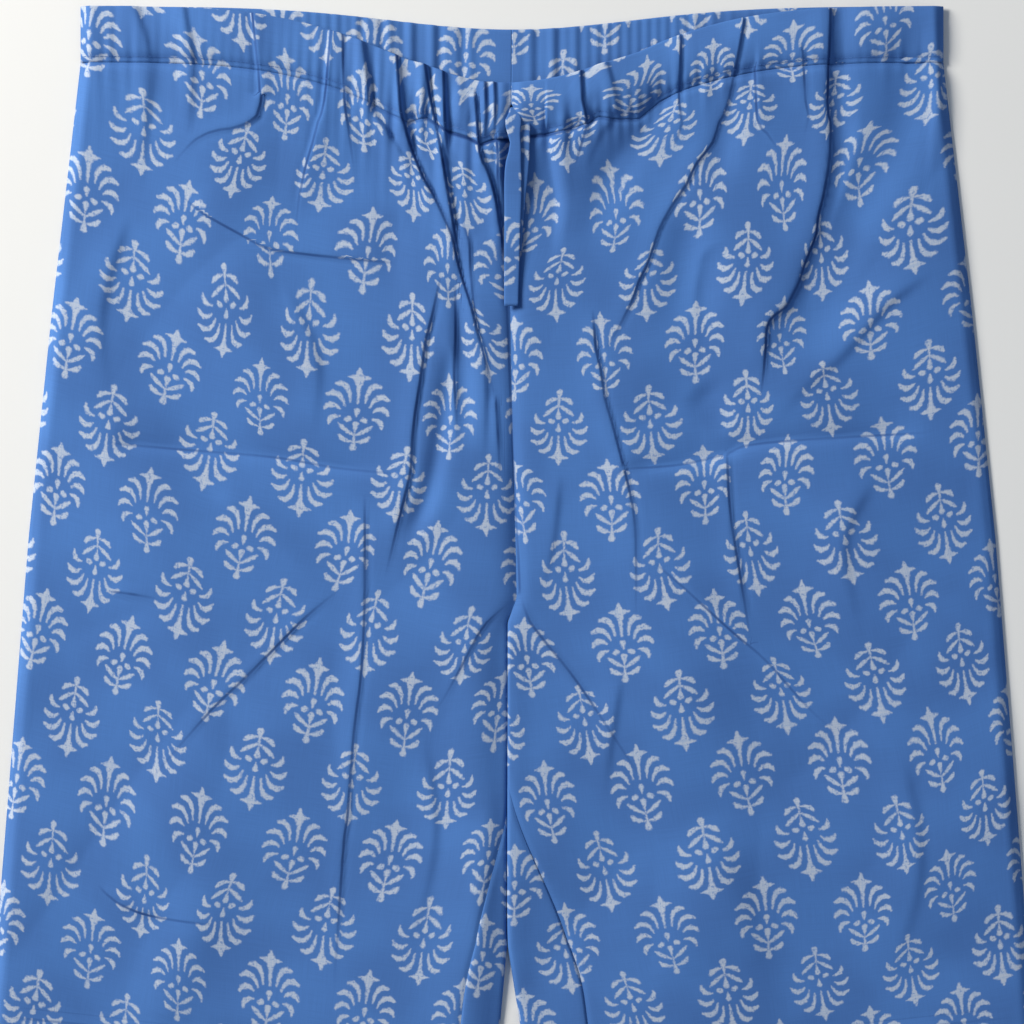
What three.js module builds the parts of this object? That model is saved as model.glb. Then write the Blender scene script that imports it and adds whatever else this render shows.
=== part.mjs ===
// Drawstring trousers in block-printed cotton, laid flat with their front upwards.
// Sizes are in millimetres. +Y runs from the hems to the waist, +X towards the wearer's left,
// and +Z up from the surface that they lie on. A place on the garment is given as x, and as
// down, the distance below the highest point of the waist. Each half is worked out for
// positive x and mirrored, so its inner edge is the one that faces the centre.
import * as THREE from "three";

const { lerp, smoothstep } = THREE.MathUtils;

// The cloth, and the gap that two pieces keep where they are sewn together.
const CLOTH = 1.2;
const SEAM_GAP = 0.3;
const HEM_EXTRA = 0.6;
const HEM_DEPTH = 20;
const HEM_STEP = 0.6;

// The waist as it lies: its highest point is at the side seams, and it dips at the centre.
const LENGTH = 1031;
const HALF_WAIST = 280;
const FRONT_DIP = 50;
const BACK_DIP = 15;
const DIP_SPREAD = 110;

// The drawstring casing is the cloth turned over and stitched down, so it is two plies thick.
const CASING_DEPTH = 35;
const CASING_THICK = 2 * CLOTH;
const SLIT_HALF_WIDTH = 1;
const SLIT_FROM = 0.4; // a share of the casing's depth

// The outline of one half, at rows that run from the inner edge to the outer one.
const FRONT_ROWS = [
  { at: "waist seam", innerDown: 85.5, outerDown: 35.5, inner: 0, outer: HALF_WAIST },
  { at: "hip", innerDown: 245, outerDown: 200, inner: 0, outer: 299 },
  { at: "crotch", innerDown: 384, outerDown: 345, inner: 0, outer: 314 },
  { at: "thigh", innerDown: 610, outerDown: 573, inner: 0, outer: 332 },
  { at: "above the knee", innerDown: 690, outerDown: 654, inner: 10, outer: 338 },
  { at: "knee", innerDown: 790, outerDown: 754, inner: 32, outer: 345 },
  { at: "hem", innerDown: LENGTH, outerDown: 995, inner: 84, outer: 357 },
];
const BACK_WAIST = { at: "waist seam", innerDown: 50.3, outerDown: 35.3, inner: 0, outer: HALF_WAIST };
const BACK_ROWS = [BACK_WAIST, ...FRONT_ROWS.slice(1)];
const STRAIGHT_BELOW = 370;
const CROTCH_DOWN = 384;

// Below the crotch the cloth curls round the inner edge of the leg, and the inseam comes up from
// the edge to lie on top of the leg.
const CURL_LENGTH = 36;
const CURL_RADIUS = 1.6;
const INSEAM_LEAST = 1;
const INSEAM_STARTS = 480;
const INSEAM_SETTLES = 650;
const INSEAM_WIDTH = { right: 26, left: 42 };

// How high the front lies above the back.
const LAY = CLOTH + SEAM_GAP;
const BACK_RELIEF = 1.2;
const FRONT_CASING_UNDER = CASING_THICK + BACK_RELIEF + SEAM_GAP;
const WAIST_LIFT = FRONT_CASING_UNDER - LAY;
const LIFT_FADE = 45;
const LOFT = 1.7;
const OUTER_LOFT_WIDTH = 24;
const SEAM_VALLEY_WIDTH = 18;

// The small gathers that the drawstring makes, closer together at the centre.
const GATHERS = 12;
const CLOSE_PITCH = 13;
const WIDE_PITCH = 30;
const PITCH_SPREAD = 110;
const GATHER_HEIGHT = 3.3;
const GATHER_FADE = 46;
const GATHER_COLUMNS = 4 * GATHERS;

// The centre is left plain as far as the first place, and fully gathered from the second on.
const PLAIN_TO = 9;
const GATHERED_FROM = 19;

// How unlike each other the gathers are: a share of their height, varied from one to the next.
const GATHER_MEAN = 0.78;
const GATHER_VARIES = 0.22;
const TURN_PER_GATHER = 2.3;
const TURN_PER_SIDE = 1.4;

// How far before its start a fold is felt, where a loose one has risen, and from where it thins
// out, as shares of its length.
const FOLD_LEAD = 0.1;
const FOLD_RISEN = 0.3;
const FOLD_THINS = 0.35;

// Folds that hang from the gathers, from (x, down) on the waist seam to where they thin out.
const WAIST_FOLDS = [
  { x: -232, down: 40, toX: -244, toDown: 150, height: 2.4, width: 17 },
  { x: -176, down: 44, toX: -214, toDown: 96, height: 2.8, width: 14 },
  { x: -134, down: 52, toX: -150, toDown: 168, height: 3.2, width: 14 },
  { x: -92, down: 64, toX: -66, toDown: 178, height: 4.0, width: 13 },
  { x: -66, down: 72, toX: -50, toDown: 172, height: 3.6, width: 11 },
  { x: -43, down: 80, toX: -24, toDown: 262, height: 4.6, width: 12 },
  { x: -24, down: 84, toX: -14, toDown: 190, height: 2.6, width: 9 },
  { x: 30, down: 84, toX: 36, toDown: 168, height: 3.2, width: 12 },
  { x: 62, down: 74, toX: 50, toDown: 178, height: 3.6, width: 13 },
  { x: 92, down: 64, toX: 62, toDown: 196, height: 3.0, width: 13 },
  { x: 142, down: 50, toX: 72, toDown: 216, height: 4.0, width: 13 },
  { x: 206, down: 40, toX: 176, toDown: 240, height: 3.6, width: 14 },
  { x: 250, down: 38, toX: 238, toDown: 150, height: 2.6, width: 17 },
];

// Folds and pressed lines that thin out at both ends.
const LOOSE_FOLDS = [
  { x: -50, down: 165, toX: -84, toDown: 380, height: 2.8, width: 13 },
  { x: -212, down: 126, toX: -76, toDown: 166, height: 2.0, width: 12 },
  { x: -248, down: 284, toX: -80, toDown: 304, height: 1.4, width: 13 },
  { x: 66, down: 208, toX: 90, toDown: 390, height: 2.8, width: 13 },
  { x: 268, down: 178, toX: 162, toDown: 284, height: 2.0, width: 14 },
  { x: 66, down: 300, toX: 268, toDown: 278, height: 1.4, width: 13 },
  { x: -116, down: 380, toX: -234, toDown: 500, height: 2.0, width: 14 },
  { x: 8, down: 386, toX: 86, toDown: 500, height: 2.0, width: 13 },
  { x: -10, down: 390, toX: -54, toDown: 462, height: 1.8, width: 12 },
  { x: 96, down: 364, toX: 210, toDown: 470, height: 1.8, width: 14 },
  { x: -96, down: 318, toX: -114, toDown: 600, height: 1.4, width: 15 },
  { x: 140, down: 290, toX: 156, toDown: 404, height: 1.4, width: 14 },
  { x: -190, down: 620, toX: -250, toDown: 770, height: 1.8, width: 26 },
  { x: 176, down: 610, toX: 262, toDown: 740, height: 1.8, width: 26 },
  { x: -130, down: 720, toX: -206, toDown: 930, height: 1.8, width: 28 },
  { x: 140, down: 740, toX: 220, toDown: 950, height: 1.8, width: 28 },
];

// Where the rows of points lie across the front and the back, and how many points each one has
// outside the curl. Distances down are those of the inner edge.
const FRONT_STATIONS = [
  { from: 85.5, to: 121.5, step: 12, columns: GATHER_COLUMNS },
  { from: 137, to: 365, step: 19, columns: 26 },
  { from: CROTCH_DOWN, to: 420, step: 9, columns: 16 },
  { from: 450, to: 480, step: 30, columns: 14 },
  { from: 505, to: 655, step: 25, columns: 12 },
  { from: 690, to: 1000, step: 62, columns: 10 },
];
const BACK_STATIONS = [
  { from: 50.3, to: 50.3, step: 1, columns: GATHER_COLUMNS },
  { from: 100, to: 370, step: 90, columns: 8 },
  { from: CROTCH_DOWN, to: 420, step: 9, columns: 6 },
  { from: 450, to: 480, step: 30, columns: 6 },
  { from: 505, to: 655, step: 25, columns: 6 },
  { from: 690, to: 1000, step: 62, columns: 6 },
];
const HEM_STATIONS = [LENGTH - HEM_DEPTH - HEM_STEP, LENGTH - HEM_DEPTH, LENGTH];
const HEM_COLUMNS = 8;
const CURL_COLUMNS = 5;
const TOP_COLUMNS = 3;
const FRONT_CASING_ROWS = [0, SLIT_FROM, SLIT_FROM + 0.08, 1]; // shares of its depth
const BACK_CASING_ROWS = [0, 1];
const NORMAL_STEP = 0.05;
const SAME_ROW = 1e-6;
const LEAST_CURL = 0.01;

// The two ends of the drawstring, each a flat strip that comes out of the slit in the casing
// and lies down the centre front: x, down and the height of the middle of the strip.
const TIE = { halfWidth: 5, halfThick: 0.8, corner: 0.35 };
const FRONT_TIE = [
  [1.2, 67, 10.5],
  [1.5, 72, 10.6],
  [1.7, 78, 10.5],
  [1.9, 84, 10.2],
  [2, 91, 9.8],
  [2.1, 99, 9.2],
  [2, 107, 8.5],
  [1.9, 115, 7.7],
  [1.7, 123, 7.3],
  [1.4, 132, 7.0],
  [1.1, 141, 6.8],
  [0.8, 150, 6.7],
  [0.6, 159, 6.6],
  [0.4, 168, 6.4],
  [0.3, 177, 5.4],
  [0.3, 186, 4.6],
  [0.4, 194, 4.3],
];
const REAR_TIE = [
  [6.6, 67, 7.9],
  [7, 72, 8.0],
  [7.3, 78, 7.8],
  [7.4, 84, 7.5],
  [7.1, 91, 7.4],
  [6.6, 99, 6.9],
  [6, 107, 6.2],
  [5.5, 115, 5.3],
  [4.7, 123, 4.9],
  [3.9, 132, 4.7],
  [3.2, 141, 4.6],
  [2.6, 150, 4.5],
  [2.1, 159, 4.4],
];

const SIDES = { right: -1, left: 1 };

const COTTON = { color: 0x4779b4, roughness: 0.85, metalness: 0 };

// How much of the centre's dip the waist has at x, as a share.
function dip(x) {
  return Math.exp(-((x / DIP_SPREAD) ** 2));
}

// The number of gathers between the centre and x, and the place of a number of gathers.
function gathersTo(x) {
  const grown = WIDE_PITCH * Math.exp(x / PITCH_SPREAD) - (WIDE_PITCH - CLOSE_PITCH);
  return (PITCH_SPREAD / WIDE_PITCH) * Math.log(grown / CLOSE_PITCH);
}

function gatherPlace(count) {
  const grown = CLOSE_PITCH * Math.exp((WIDE_PITCH * count) / PITCH_SPREAD) + WIDE_PITCH - CLOSE_PITCH;
  return PITCH_SPREAD * Math.log(grown / WIDE_PITCH);
}

const GATHER_SCALE = HALF_WAIST / gatherPlace(GATHERS);

// The height of the gathers at x, as uneven as a drawstring makes them.
function gatherWave(side, x) {
  const count = gathersTo(x / GATHER_SCALE);
  const turn = TURN_PER_GATHER * Math.round(count) + TURN_PER_SIDE * side;
  const uneven = GATHER_MEAN + GATHER_VARIES * Math.sin(turn);
  const wave = 0.5 * (1 - Math.cos(2 * Math.PI * count));
  return uneven * wave * smoothstep(x, PLAIN_TO, GATHERED_FROM);
}

// The height of one fold at a place, from how far along it and beside it the place is.
function foldHeight(fold, x, down, startsFull) {
  const run = new THREE.Vector2(fold.toX - fold.x, fold.toDown - fold.down);
  const place = new THREE.Vector2(x - fold.x, down - fold.down);
  const along = place.dot(run) / run.lengthSq();
  const beside = Math.abs(place.cross(run)) / run.length();
  if (beside >= fold.width || along <= -FOLD_LEAD || along >= 1) return 0;
  const rise = startsFull ? 1 : smoothstep(along, 0, FOLD_RISEN);
  const fall = 1 - smoothstep(along, FOLD_THINS, 1);
  return fold.height * rise * fall * 0.5 * (1 + Math.cos((Math.PI * beside) / fold.width));
}

function foldsAt(x, down) {
  let height = 0;
  for (const fold of WAIST_FOLDS) height = Math.max(height, foldHeight(fold, x, down, true));
  for (const fold of LOOSE_FOLDS) height = Math.max(height, foldHeight(fold, x, down, false));
  return height;
}

// A value from the outline's table, at a distance down the inner edge.
function outlineAt(rows, name, innerDown) {
  const below = rows.findIndex((row) => row.innerDown >= innerDown - SAME_ROW);
  const next = Math.max(below, 1);
  const share = (innerDown - rows[next - 1].innerDown) / (rows[next].innerDown - rows[next - 1].innerDown);
  return lerp(rows[next - 1][name], rows[next][name], share);
}

function hemExtra(innerDown) {
  return innerDown > LENGTH - HEM_DEPTH - HEM_STEP / 2 ? HEM_EXTRA : 0;
}

// How far round the inner edge the inseam has come, as a length along the cloth.
function inseamPlace(sideName, innerDown, curlArc) {
  const climbed = smoothstep(innerDown, INSEAM_STARTS, INSEAM_SETTLES);
  const settled = curlArc + INSEAM_WIDTH[sideName] - CURL_RADIUS;
  return lerp(INSEAM_LEAST, settled, climbed);
}

// One row across a half: its outline, and its path from the surface, round the inner edge and
// over the top. Distances along the path are counted from where the curl starts.
function rowAcross(rows, sideName, innerDown) {
  const side = SIDES[sideName];
  const inner = outlineAt(rows, "inner", innerDown);
  const outer = outlineAt(rows, "outer", innerDown);
  const outerDown = outlineAt(rows, "outerDown", innerDown);
  const straight = smoothstep(innerDown, rows[0].innerDown, STRAIGHT_BELOW);
  const thick = CLOTH + hemExtra(innerDown);
  const curlArc = Math.PI * CURL_RADIUS;
  const curled = smoothstep(innerDown, CROTCH_DOWN, CROTCH_DOWN + CURL_LENGTH);
  const inseam = inseamPlace(sideName, innerDown, curlArc);
  const frontStart = lerp(curlArc, inseam + SEAM_GAP, curled);
  const backEnd = inseam * curled;
  const turned = lerp(curlArc, INSEAM_LEAST + SEAM_GAP, curled);
  const turn = Math.sin(Math.PI * Math.max(turned / curlArc, 0.5));
  const edge = inner + SEAM_GAP / 2 + (thick / 2) * turn - CURL_RADIUS * (1 - turn);
  const curlEnd = edge + CURL_RADIUS;

  const downAt = (x) => {
    const share = lerp(dip(x), 1 - (x - inner) / (outer - inner), straight);
    return outerDown + (innerDown - outerDown) * share;
  };
  const topAt = (x) => {
    const down = downAt(x);
    const seamDown = CASING_DEPTH + FRONT_DIP * dip(x);
    const valley = lerp(smoothstep(x - inner, 0, SEAM_VALLEY_WIDTH), 1, curled);
    const loft = LOFT * valley * smoothstep(outer - x, 0, OUTER_LOFT_WIDTH);
    const lift = WAIST_LIFT * (1 - smoothstep(down - seamDown, 0, LIFT_FADE));
    const fade = 1 - smoothstep(down - seamDown, 0, GATHER_FADE);
    const gathered = GATHER_HEIGHT * fade * gatherWave(side, x);
    const away = smoothstep(outer - x, 0, OUTER_LOFT_WIDTH) * smoothstep(x - curlEnd, 0, SEAM_VALLEY_WIDTH);
    return thick + SEAM_GAP + thick / 2 + loft + lift + Math.max(gathered, away * foldsAt(side * x, down));
  };
  const place = (s) => {
    if (s <= 0) {
      return { x: curlEnd - s, down: downAt(curlEnd - s), z: thick / 2 };
    }
    if (s >= curlArc) {
      const x = curlEnd + s - curlArc;
      return { x, down: downAt(x), z: topAt(x) };
    }
    const angle = (Math.PI * s) / curlArc;
    const x = curlEnd - CURL_RADIUS * Math.sin(angle);
    const rise = (topAt(curlEnd) - thick / 2) / 2;
    return { x, down: downAt(curlEnd), z: thick / 2 + rise * (1 - Math.cos(angle)) };
  };
  return { place, thick, curlArc, curlEnd, outer, frontStart, backEnd };
}

// Points on a path at the given stops, each with its normal across the row and half thickness.
function samplePath(place, stops, thick) {
  return stops.map((s) => {
    const point = place(s);
    const before = place(s - NORMAL_STEP);
    const after = place(s + NORMAL_STEP);
    const normal = new THREE.Vector2(before.z - after.z, after.x - before.x).normalize();
    return { ...point, normal, half: thick / 2 };
  });
}

function evenStops(from, to, count) {
  return Array.from({ length: count + 1 }, (_, i) => lerp(from, to, i / count));
}

// The rows' distances down the inner edge, with the number of columns for each.
function stationsOf(table) {
  const stations = table.flatMap(({ from, to, step, columns }) => {
    const steps = Math.round((to - from) / step);
    return evenStops(from, to, Math.max(steps, 1)).map((down) => ({ down, columns }));
  });
  const hem = HEM_STATIONS.map((down) => ({ down, columns: HEM_COLUMNS }));
  return [...stations.filter((s, i) => i === 0 || s.down > stations[i - 1].down), ...hem];
}

function gatherStops(inner) {
  return Array.from({ length: GATHER_COLUMNS + 1 }, (_, i) => {
    return Math.max(GATHER_SCALE * gatherPlace((i * GATHERS) / GATHER_COLUMNS), inner);
  });
}

// The front of one half: over the top, and round the curl as far as the inseam.
function frontRow(sideName, { down, columns }) {
  const row = rowAcross(FRONT_ROWS, sideName, down);
  const end = row.curlArc + row.outer - row.curlEnd;
  const curled = row.frontStart < row.curlArc - LEAST_CURL;
  const start = curled ? row.curlArc : row.frontStart;
  const round = curled ? evenStops(row.frontStart, row.curlArc, CURL_COLUMNS).slice(0, -1) : [];
  const gathered = gatherStops(row.curlEnd).map((x) => row.curlArc + x - row.curlEnd);
  const over = columns === GATHER_COLUMNS ? gathered : evenStops(start, end, columns);
  return samplePath(row.place, [...round, ...over], row.thick);
}

// The back of one half: flat on the surface, then round the curl and over to the inseam.
function backRow(sideName, { down, columns }) {
  const row = rowAcross(BACK_ROWS, sideName, down);
  const floorEnd = row.curlEnd - row.outer;
  const gathered = gatherStops(row.curlEnd).map((x) => row.curlEnd - x).reverse();
  const floor = columns === GATHER_COLUMNS ? gathered : evenStops(floorEnd, 0, columns);
  if (row.backEnd <= 0) return samplePath(row.place, floor, row.thick);
  const curlTo = Math.min(row.backEnd, row.curlArc);
  const curl = evenStops(0, curlTo, CURL_COLUMNS).slice(1);
  const top = row.backEnd > row.curlArc ? evenStops(row.curlArc, row.backEnd, TOP_COLUMNS).slice(1) : [];
  return samplePath(row.place, [...floor, ...curl, ...top], row.thick);
}

// Half of a casing: two plies, raised into gathers, over the front or flat under the back.
function frontCasingRow(sideName, share) {
  const side = SIDES[sideName];
  const inner = share > SLIT_FROM ? SLIT_HALF_WIDTH : SEAM_GAP / 2;
  const place = (x) => ({
    x,
    down: FRONT_DIP * dip(x) + CASING_DEPTH * share,
    z: FRONT_CASING_UNDER + CASING_THICK / 2 + GATHER_HEIGHT * gatherWave(side, x),
  });
  return samplePath(place, gatherStops(inner), CASING_THICK);
}

function backCasingRow(sideName, share) {
  const side = SIDES[sideName];
  return gatherStops(SEAM_GAP / 2).map((x) => {
    const thick = CASING_THICK + BACK_RELIEF * gatherWave(side, x + CLOSE_PITCH / 2);
    const down = BACK_DIP * dip(x) + CASING_DEPTH * share;
    return { x, down, z: thick / 2, normal: new THREE.Vector2(0, 1), half: thick / 2 };
  });
}

// The triangles between two rows of points, which may differ in their number.
function stitch(first, firstCount, second, secondCount) {
  const triangles = [];
  let i = 0;
  let j = 0;
  while (i < firstCount - 1 || j < secondCount - 1) {
    const firstShare = (i + 1) / (firstCount - 1);
    const secondShare = (j + 1) / (secondCount - 1);
    if (j === secondCount - 1 || (i < firstCount - 1 && firstShare <= secondShare)) {
      triangles.push([first + i, first + i + 1, second + j]);
      i += 1;
    } else {
      triangles.push([first + i, second + j + 1, second + j]);
      j += 1;
    }
  }
  return triangles;
}

// A wall of cloth: rows of points, given thickness and closed round their rim.
function wall(side, rows) {
  const positions = [];
  const starts = [];
  for (const row of rows) {
    starts.push(positions.length / 3);
    for (const { x, down, z, normal, half } of row) {
      positions.push(side * (x + normal.x * half), LENGTH / 2 - down, z + normal.y * half);
    }
  }
  const under = positions.length / 3;
  for (const { x, down, z, normal, half } of rows.flat()) {
    positions.push(side * (x - normal.x * half), LENGTH / 2 - down, z - normal.y * half);
  }
  const triangles = [];
  for (let r = 0; r + 1 < rows.length; r += 1) {
    for (const [a, b, c] of stitch(starts[r], rows[r].length, starts[r + 1], rows[r + 1].length)) {
      triangles.push([a, b, c], [under + a, under + c, under + b]);
    }
  }
  const rim = rimOf(starts, rows);
  rim.forEach((a, i) => {
    const b = rim[(i + 1) % rim.length];
    triangles.push([a, under + a, under + b], [a, under + b, b]);
  });
  return solidFrom(positions, triangles);
}

// The points round the edge of the rows, in order.
function rimOf(starts, rows) {
  const last = rows.length - 1;
  const firstRow = rows[0].map((_, i) => starts[0] + i);
  const lastRow = rows[last].map((_, i) => starts[last] + i);
  const between = starts.slice(1, last);
  const nearEnds = between.map((start, i) => start + rows[i + 1].length - 1);
  return [...firstRow, ...nearEnds, ...lastRow.reverse(), ...between.reverse()];
}

function signedVolume(positions, triangles) {
  const corner = (i) => new THREE.Vector3().fromArray(positions, 3 * i);
  return triangles.reduce((sum, [a, b, c]) => sum + corner(a).dot(corner(b).cross(corner(c))) / 6, 0);
}

function solidFrom(positions, triangles) {
  const outwards = signedVolume(positions, triangles) > 0;
  const faces = outwards ? triangles : triangles.map(([a, b, c]) => [a, c, b]);
  const geometry = new THREE.BufferGeometry();
  geometry.setAttribute("position", new THREE.Float32BufferAttribute(positions, 3));
  geometry.setIndex(faces.flat());
  geometry.computeVertexNormals();
  return geometry;
}

// The section of a tie: a flat strip with its corners taken off.
function tieSection() {
  const { halfWidth, halfThick, corner } = TIE;
  return [
    [halfWidth, halfThick - corner],
    [halfWidth - corner, halfThick],
    [corner - halfWidth, halfThick],
    [-halfWidth, halfThick - corner],
    [-halfWidth, corner - halfThick],
    [corner - halfWidth, -halfThick],
    [halfWidth - corner, -halfThick],
    [halfWidth, corner - halfThick],
  ];
}

// A tie keeps its section level across, so it is swept by hand along its route.
function tie(route) {
  const section = tieSection();
  const positions = [];
  for (const [x, down, z] of route) {
    for (const [across, up] of section) positions.push(x + across, LENGTH / 2 - down, z + up);
  }
  const count = section.length;
  const triangles = [];
  for (let r = 0; r + 1 < route.length; r += 1) {
    for (let i = 0; i < count; i += 1) {
      const a = r * count + i;
      const b = r * count + ((i + 1) % count);
      triangles.push([a, b, b + count], [a, b + count, a + count]);
    }
  }
  const end = (route.length - 1) * count;
  for (let i = 1; i + 1 < count; i += 1) {
    triangles.push([0, i + 1, i], [end, end + i, end + i + 1]);
  }
  return solidFrom(positions, triangles);
}

function piece(name, geometry) {
  const mesh = new THREE.Mesh(geometry, new THREE.MeshStandardMaterial(COTTON));
  mesh.name = name;
  return mesh;
}

function half(sideName) {
  const side = SIDES[sideName];
  const group = new THREE.Group();
  const front = stationsOf(FRONT_STATIONS).map((station) => frontRow(sideName, station));
  const back = stationsOf(BACK_STATIONS).map((station) => backRow(sideName, station));
  const frontCasing = FRONT_CASING_ROWS.map((share) => frontCasingRow(sideName, share));
  const backCasing = BACK_CASING_ROWS.map((share) => backCasingRow(sideName, share));
  group.add(piece(`front_panel_${sideName}`, wall(side, front)));
  group.add(piece(`back_panel_${sideName}`, wall(side, back)));
  group.add(piece(`front_casing_${sideName}`, wall(side, frontCasing)));
  group.add(piece(`back_casing_${sideName}`, wall(side, backCasing)));
  return group;
}

const trousers = new THREE.Group();
trousers.name = "drawstring_trousers";
for (const sideName of Object.keys(SIDES)) trousers.add(half(sideName));
trousers.add(piece("drawstring_front_tie", tie(FRONT_TIE)));
trousers.add(piece("drawstring_rear_tie", tie(REAR_TIE)));

export default trousers;
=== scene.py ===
"""Dresses the drawstring trousers: block-printed cotton, laid flat and seen from straight above.

Every size and place is in millimetres. A place on the garment is given as x, positive towards
the wearer's left, and as down, the distance below the highest point of the waist. Meshes are
turned into metres as they are made. Each half is worked out for positive x and mirrored.
"""

from __future__ import annotations

import logging
import math
from dataclasses import dataclass, field
from enum import Enum

import bpy
import numpy as np
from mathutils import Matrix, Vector

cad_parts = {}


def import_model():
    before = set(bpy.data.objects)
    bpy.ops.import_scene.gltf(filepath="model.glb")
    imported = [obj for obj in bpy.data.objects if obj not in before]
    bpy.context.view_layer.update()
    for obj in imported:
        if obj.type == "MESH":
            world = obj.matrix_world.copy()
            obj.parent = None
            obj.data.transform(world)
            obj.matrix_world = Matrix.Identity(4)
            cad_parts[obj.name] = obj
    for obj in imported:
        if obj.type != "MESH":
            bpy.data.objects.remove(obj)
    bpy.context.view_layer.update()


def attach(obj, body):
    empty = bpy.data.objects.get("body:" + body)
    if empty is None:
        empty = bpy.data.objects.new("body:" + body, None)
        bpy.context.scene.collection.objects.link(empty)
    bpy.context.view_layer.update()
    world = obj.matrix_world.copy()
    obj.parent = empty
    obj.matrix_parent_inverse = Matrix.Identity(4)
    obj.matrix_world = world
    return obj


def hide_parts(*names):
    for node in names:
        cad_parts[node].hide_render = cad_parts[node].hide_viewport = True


LOG = logging.getLogger("trousers")
MM = 0.001
LENGTH = 1031.0


class Half(Enum):
    """One half of the garment, by the wearer's own side."""

    RIGHT = "right"
    LEFT = "left"

    @property
    def sign(self) -> float:
        """The sign of x on this half."""
        return 1.0 if self is Half.LEFT else -1.0


class Flank(Enum):
    """The side of a fold that falls steeply, as a direction in x and down."""

    EVEN = (0.0, 0.0)
    LEFTWARD = (-1.0, 0.0)
    RIGHTWARD = (1.0, 0.0)
    TO_WAIST = (0.0, -1.0)
    TO_HEM = (0.0, 1.0)


class Crest(Enum):
    """The section of a fold across its line."""

    ROUND = "round"
    SHARP = "sharp"
    LAP = "lap"


def smooth(value: np.ndarray | float, low: float, high: float) -> np.ndarray:
    """A smooth step from 0 at low to 1 at high.

    Args:
        value: The values to step.
        low: Where the step starts.
        high: Where the step ends.

    Returns:
        The stepped values, from 0 to 1.
    """
    share = np.clip((np.asarray(value, float) - low) / (high - low), 0.0, 1.0)
    return share * share * (3.0 - 2.0 * share)


def blend(low: np.ndarray | float, high: np.ndarray | float, share: np.ndarray | float) -> np.ndarray:
    """The value a share of the way from low to high."""
    return low + (high - low) * share


def bump(value: np.ndarray, width: np.ndarray | float) -> np.ndarray:
    """A bell curve: 1 where the value is 0, and small past the width."""
    return np.exp(-((value / width) ** 2))


@dataclass(frozen=True)
class OutlineRow:
    """One row of the outline of a half, from the inner edge to the outer one."""

    inner_down: float
    outer_down: float
    inner: float
    outer: float


@dataclass(frozen=True)
class Fold:
    """A fold in the cloth, along a line of (x, down) places.

    The height is negative for a trough. starts_full keeps the fold at its full height where it
    comes out of the gathers, and shares is how much of its length it takes to rise and fall.
    tuck is how much cloth a lap hides, and tuck_rise how much of its length that takes to grow.
    """

    line: tuple[tuple[float, float], ...]
    height: float
    width: float
    flank: Flank = Flank.EVEN
    crest: Crest = Crest.ROUND
    starts_full: bool = False
    shares: tuple[float, float] = (0.25, 0.6)
    tuck: float = 0.0
    tuck_rise: float = 0.0

    def dense_line(self, step: float = 6.0) -> np.ndarray:
        """The fold's line as a smooth curve of close points."""
        points = np.array(self.line, float)
        if len(points) == 2:
            return points
        padded = np.vstack([2 * points[0] - points[1], points, 2 * points[-1] - points[-2]])
        parts = []
        for before, start, end, after in zip(padded, padded[1:], padded[2:], padded[3:]):
            count = max(2, int(np.linalg.norm(end - start) / step))
            t = np.linspace(0.0, 1.0, count, endpoint=False)[:, None]
            straight = (end - before) * t
            bend = (2 * before - 5 * start + 4 * end - after) * t**2
            twist = (3 * start - before - 3 * end + after) * t**3
            parts.append(start + 0.5 * (straight + bend + twist))
        return np.vstack([*parts, points[-1]])

    def section(self, distance: np.ndarray, steep: np.ndarray) -> np.ndarray:
        """The height across the fold, as a share of its height at the crest.

        Args:
            distance: The distance from the fold's line.
            steep: Whether a place is on the steep side.

        Returns:
            The share of the fold's height.
        """
        gentle = distance / self.width
        if self.crest is Crest.LAP:
            drop = bump(distance, LAP_DROP)
            groove = LAP_GROOVE * bump(distance - LAP_GROOVE_AT, LAP_GROOVE_WIDTH)
            return np.where(steep, drop - groove * (1.0 - drop), bump(gentle, 1.0))
        bare = np.where(steep, gentle / STEEP_SHARE, gentle)
        return bump(bare, 1.0) if self.crest is Crest.ROUND else np.exp(-SHARPNESS * bare)


# The sections of the folds: how much steeper the steep side is, the point of a sharp crest, and
# the drop at a lap's edge with the groove beside it, in millimetres. A lap is pressed down to a
# share of its height.
STEEP_SHARE = 0.28
SHARPNESS = 1.6
LAP_DROP = 1.3
LAP_GROOVE = 0.4
LAP_GROOVE_AT = 2.4
LAP_GROOVE_WIDTH = 2.2
LAP_PRESSED = 0.66

# How far a fold is felt, in widths, and how the cloth that it hides is taken up.
FOLD_REACH = 3.0
TUCK_REACH = 16.0
TUCK_RAMP = 2.2
TUCK_ENDS = 0.6

# The crease line of a lap, whose dark line is painted shade in the cloth's colour: where it stops being
# counted, and the height of a full one.
CREASE_FROM = 3.0
CREASE_TO = 5.0
CREASE_LIMIT = 8.0
CREASE_LEAST = 0.34
CREASE_PER_HEIGHT = 0.24
CREASE_SHARP = 0.45
CREASE_VARIES = 0.2
CREASE_TURNS = 17.0
CREASE_STEP = 2.0
CREASE_MAPS = ("crease_even", "crease_odd", "crease_seam")

# The print's own map, counted in blocks, and the size of one block of the repeat.
PRINT_MAP = "print"
BLOCK_PITCH = (61.0, 96.7, 1.0)

# A distance that is more than any other, and the least length of a line's run.
FAR = 1e9
LEAST_RUN = 1e-6


@dataclass
class FoldReading:
    """What the folds do at some places.

    Each crease is a distance from its line, positive on the steep side, and the depth from 0 to 1 of
    the shade that is painted along it.
    """

    height: np.ndarray
    shift_x: np.ndarray
    shift_down: np.ndarray
    creases: tuple[np.ndarray, ...]


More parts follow.
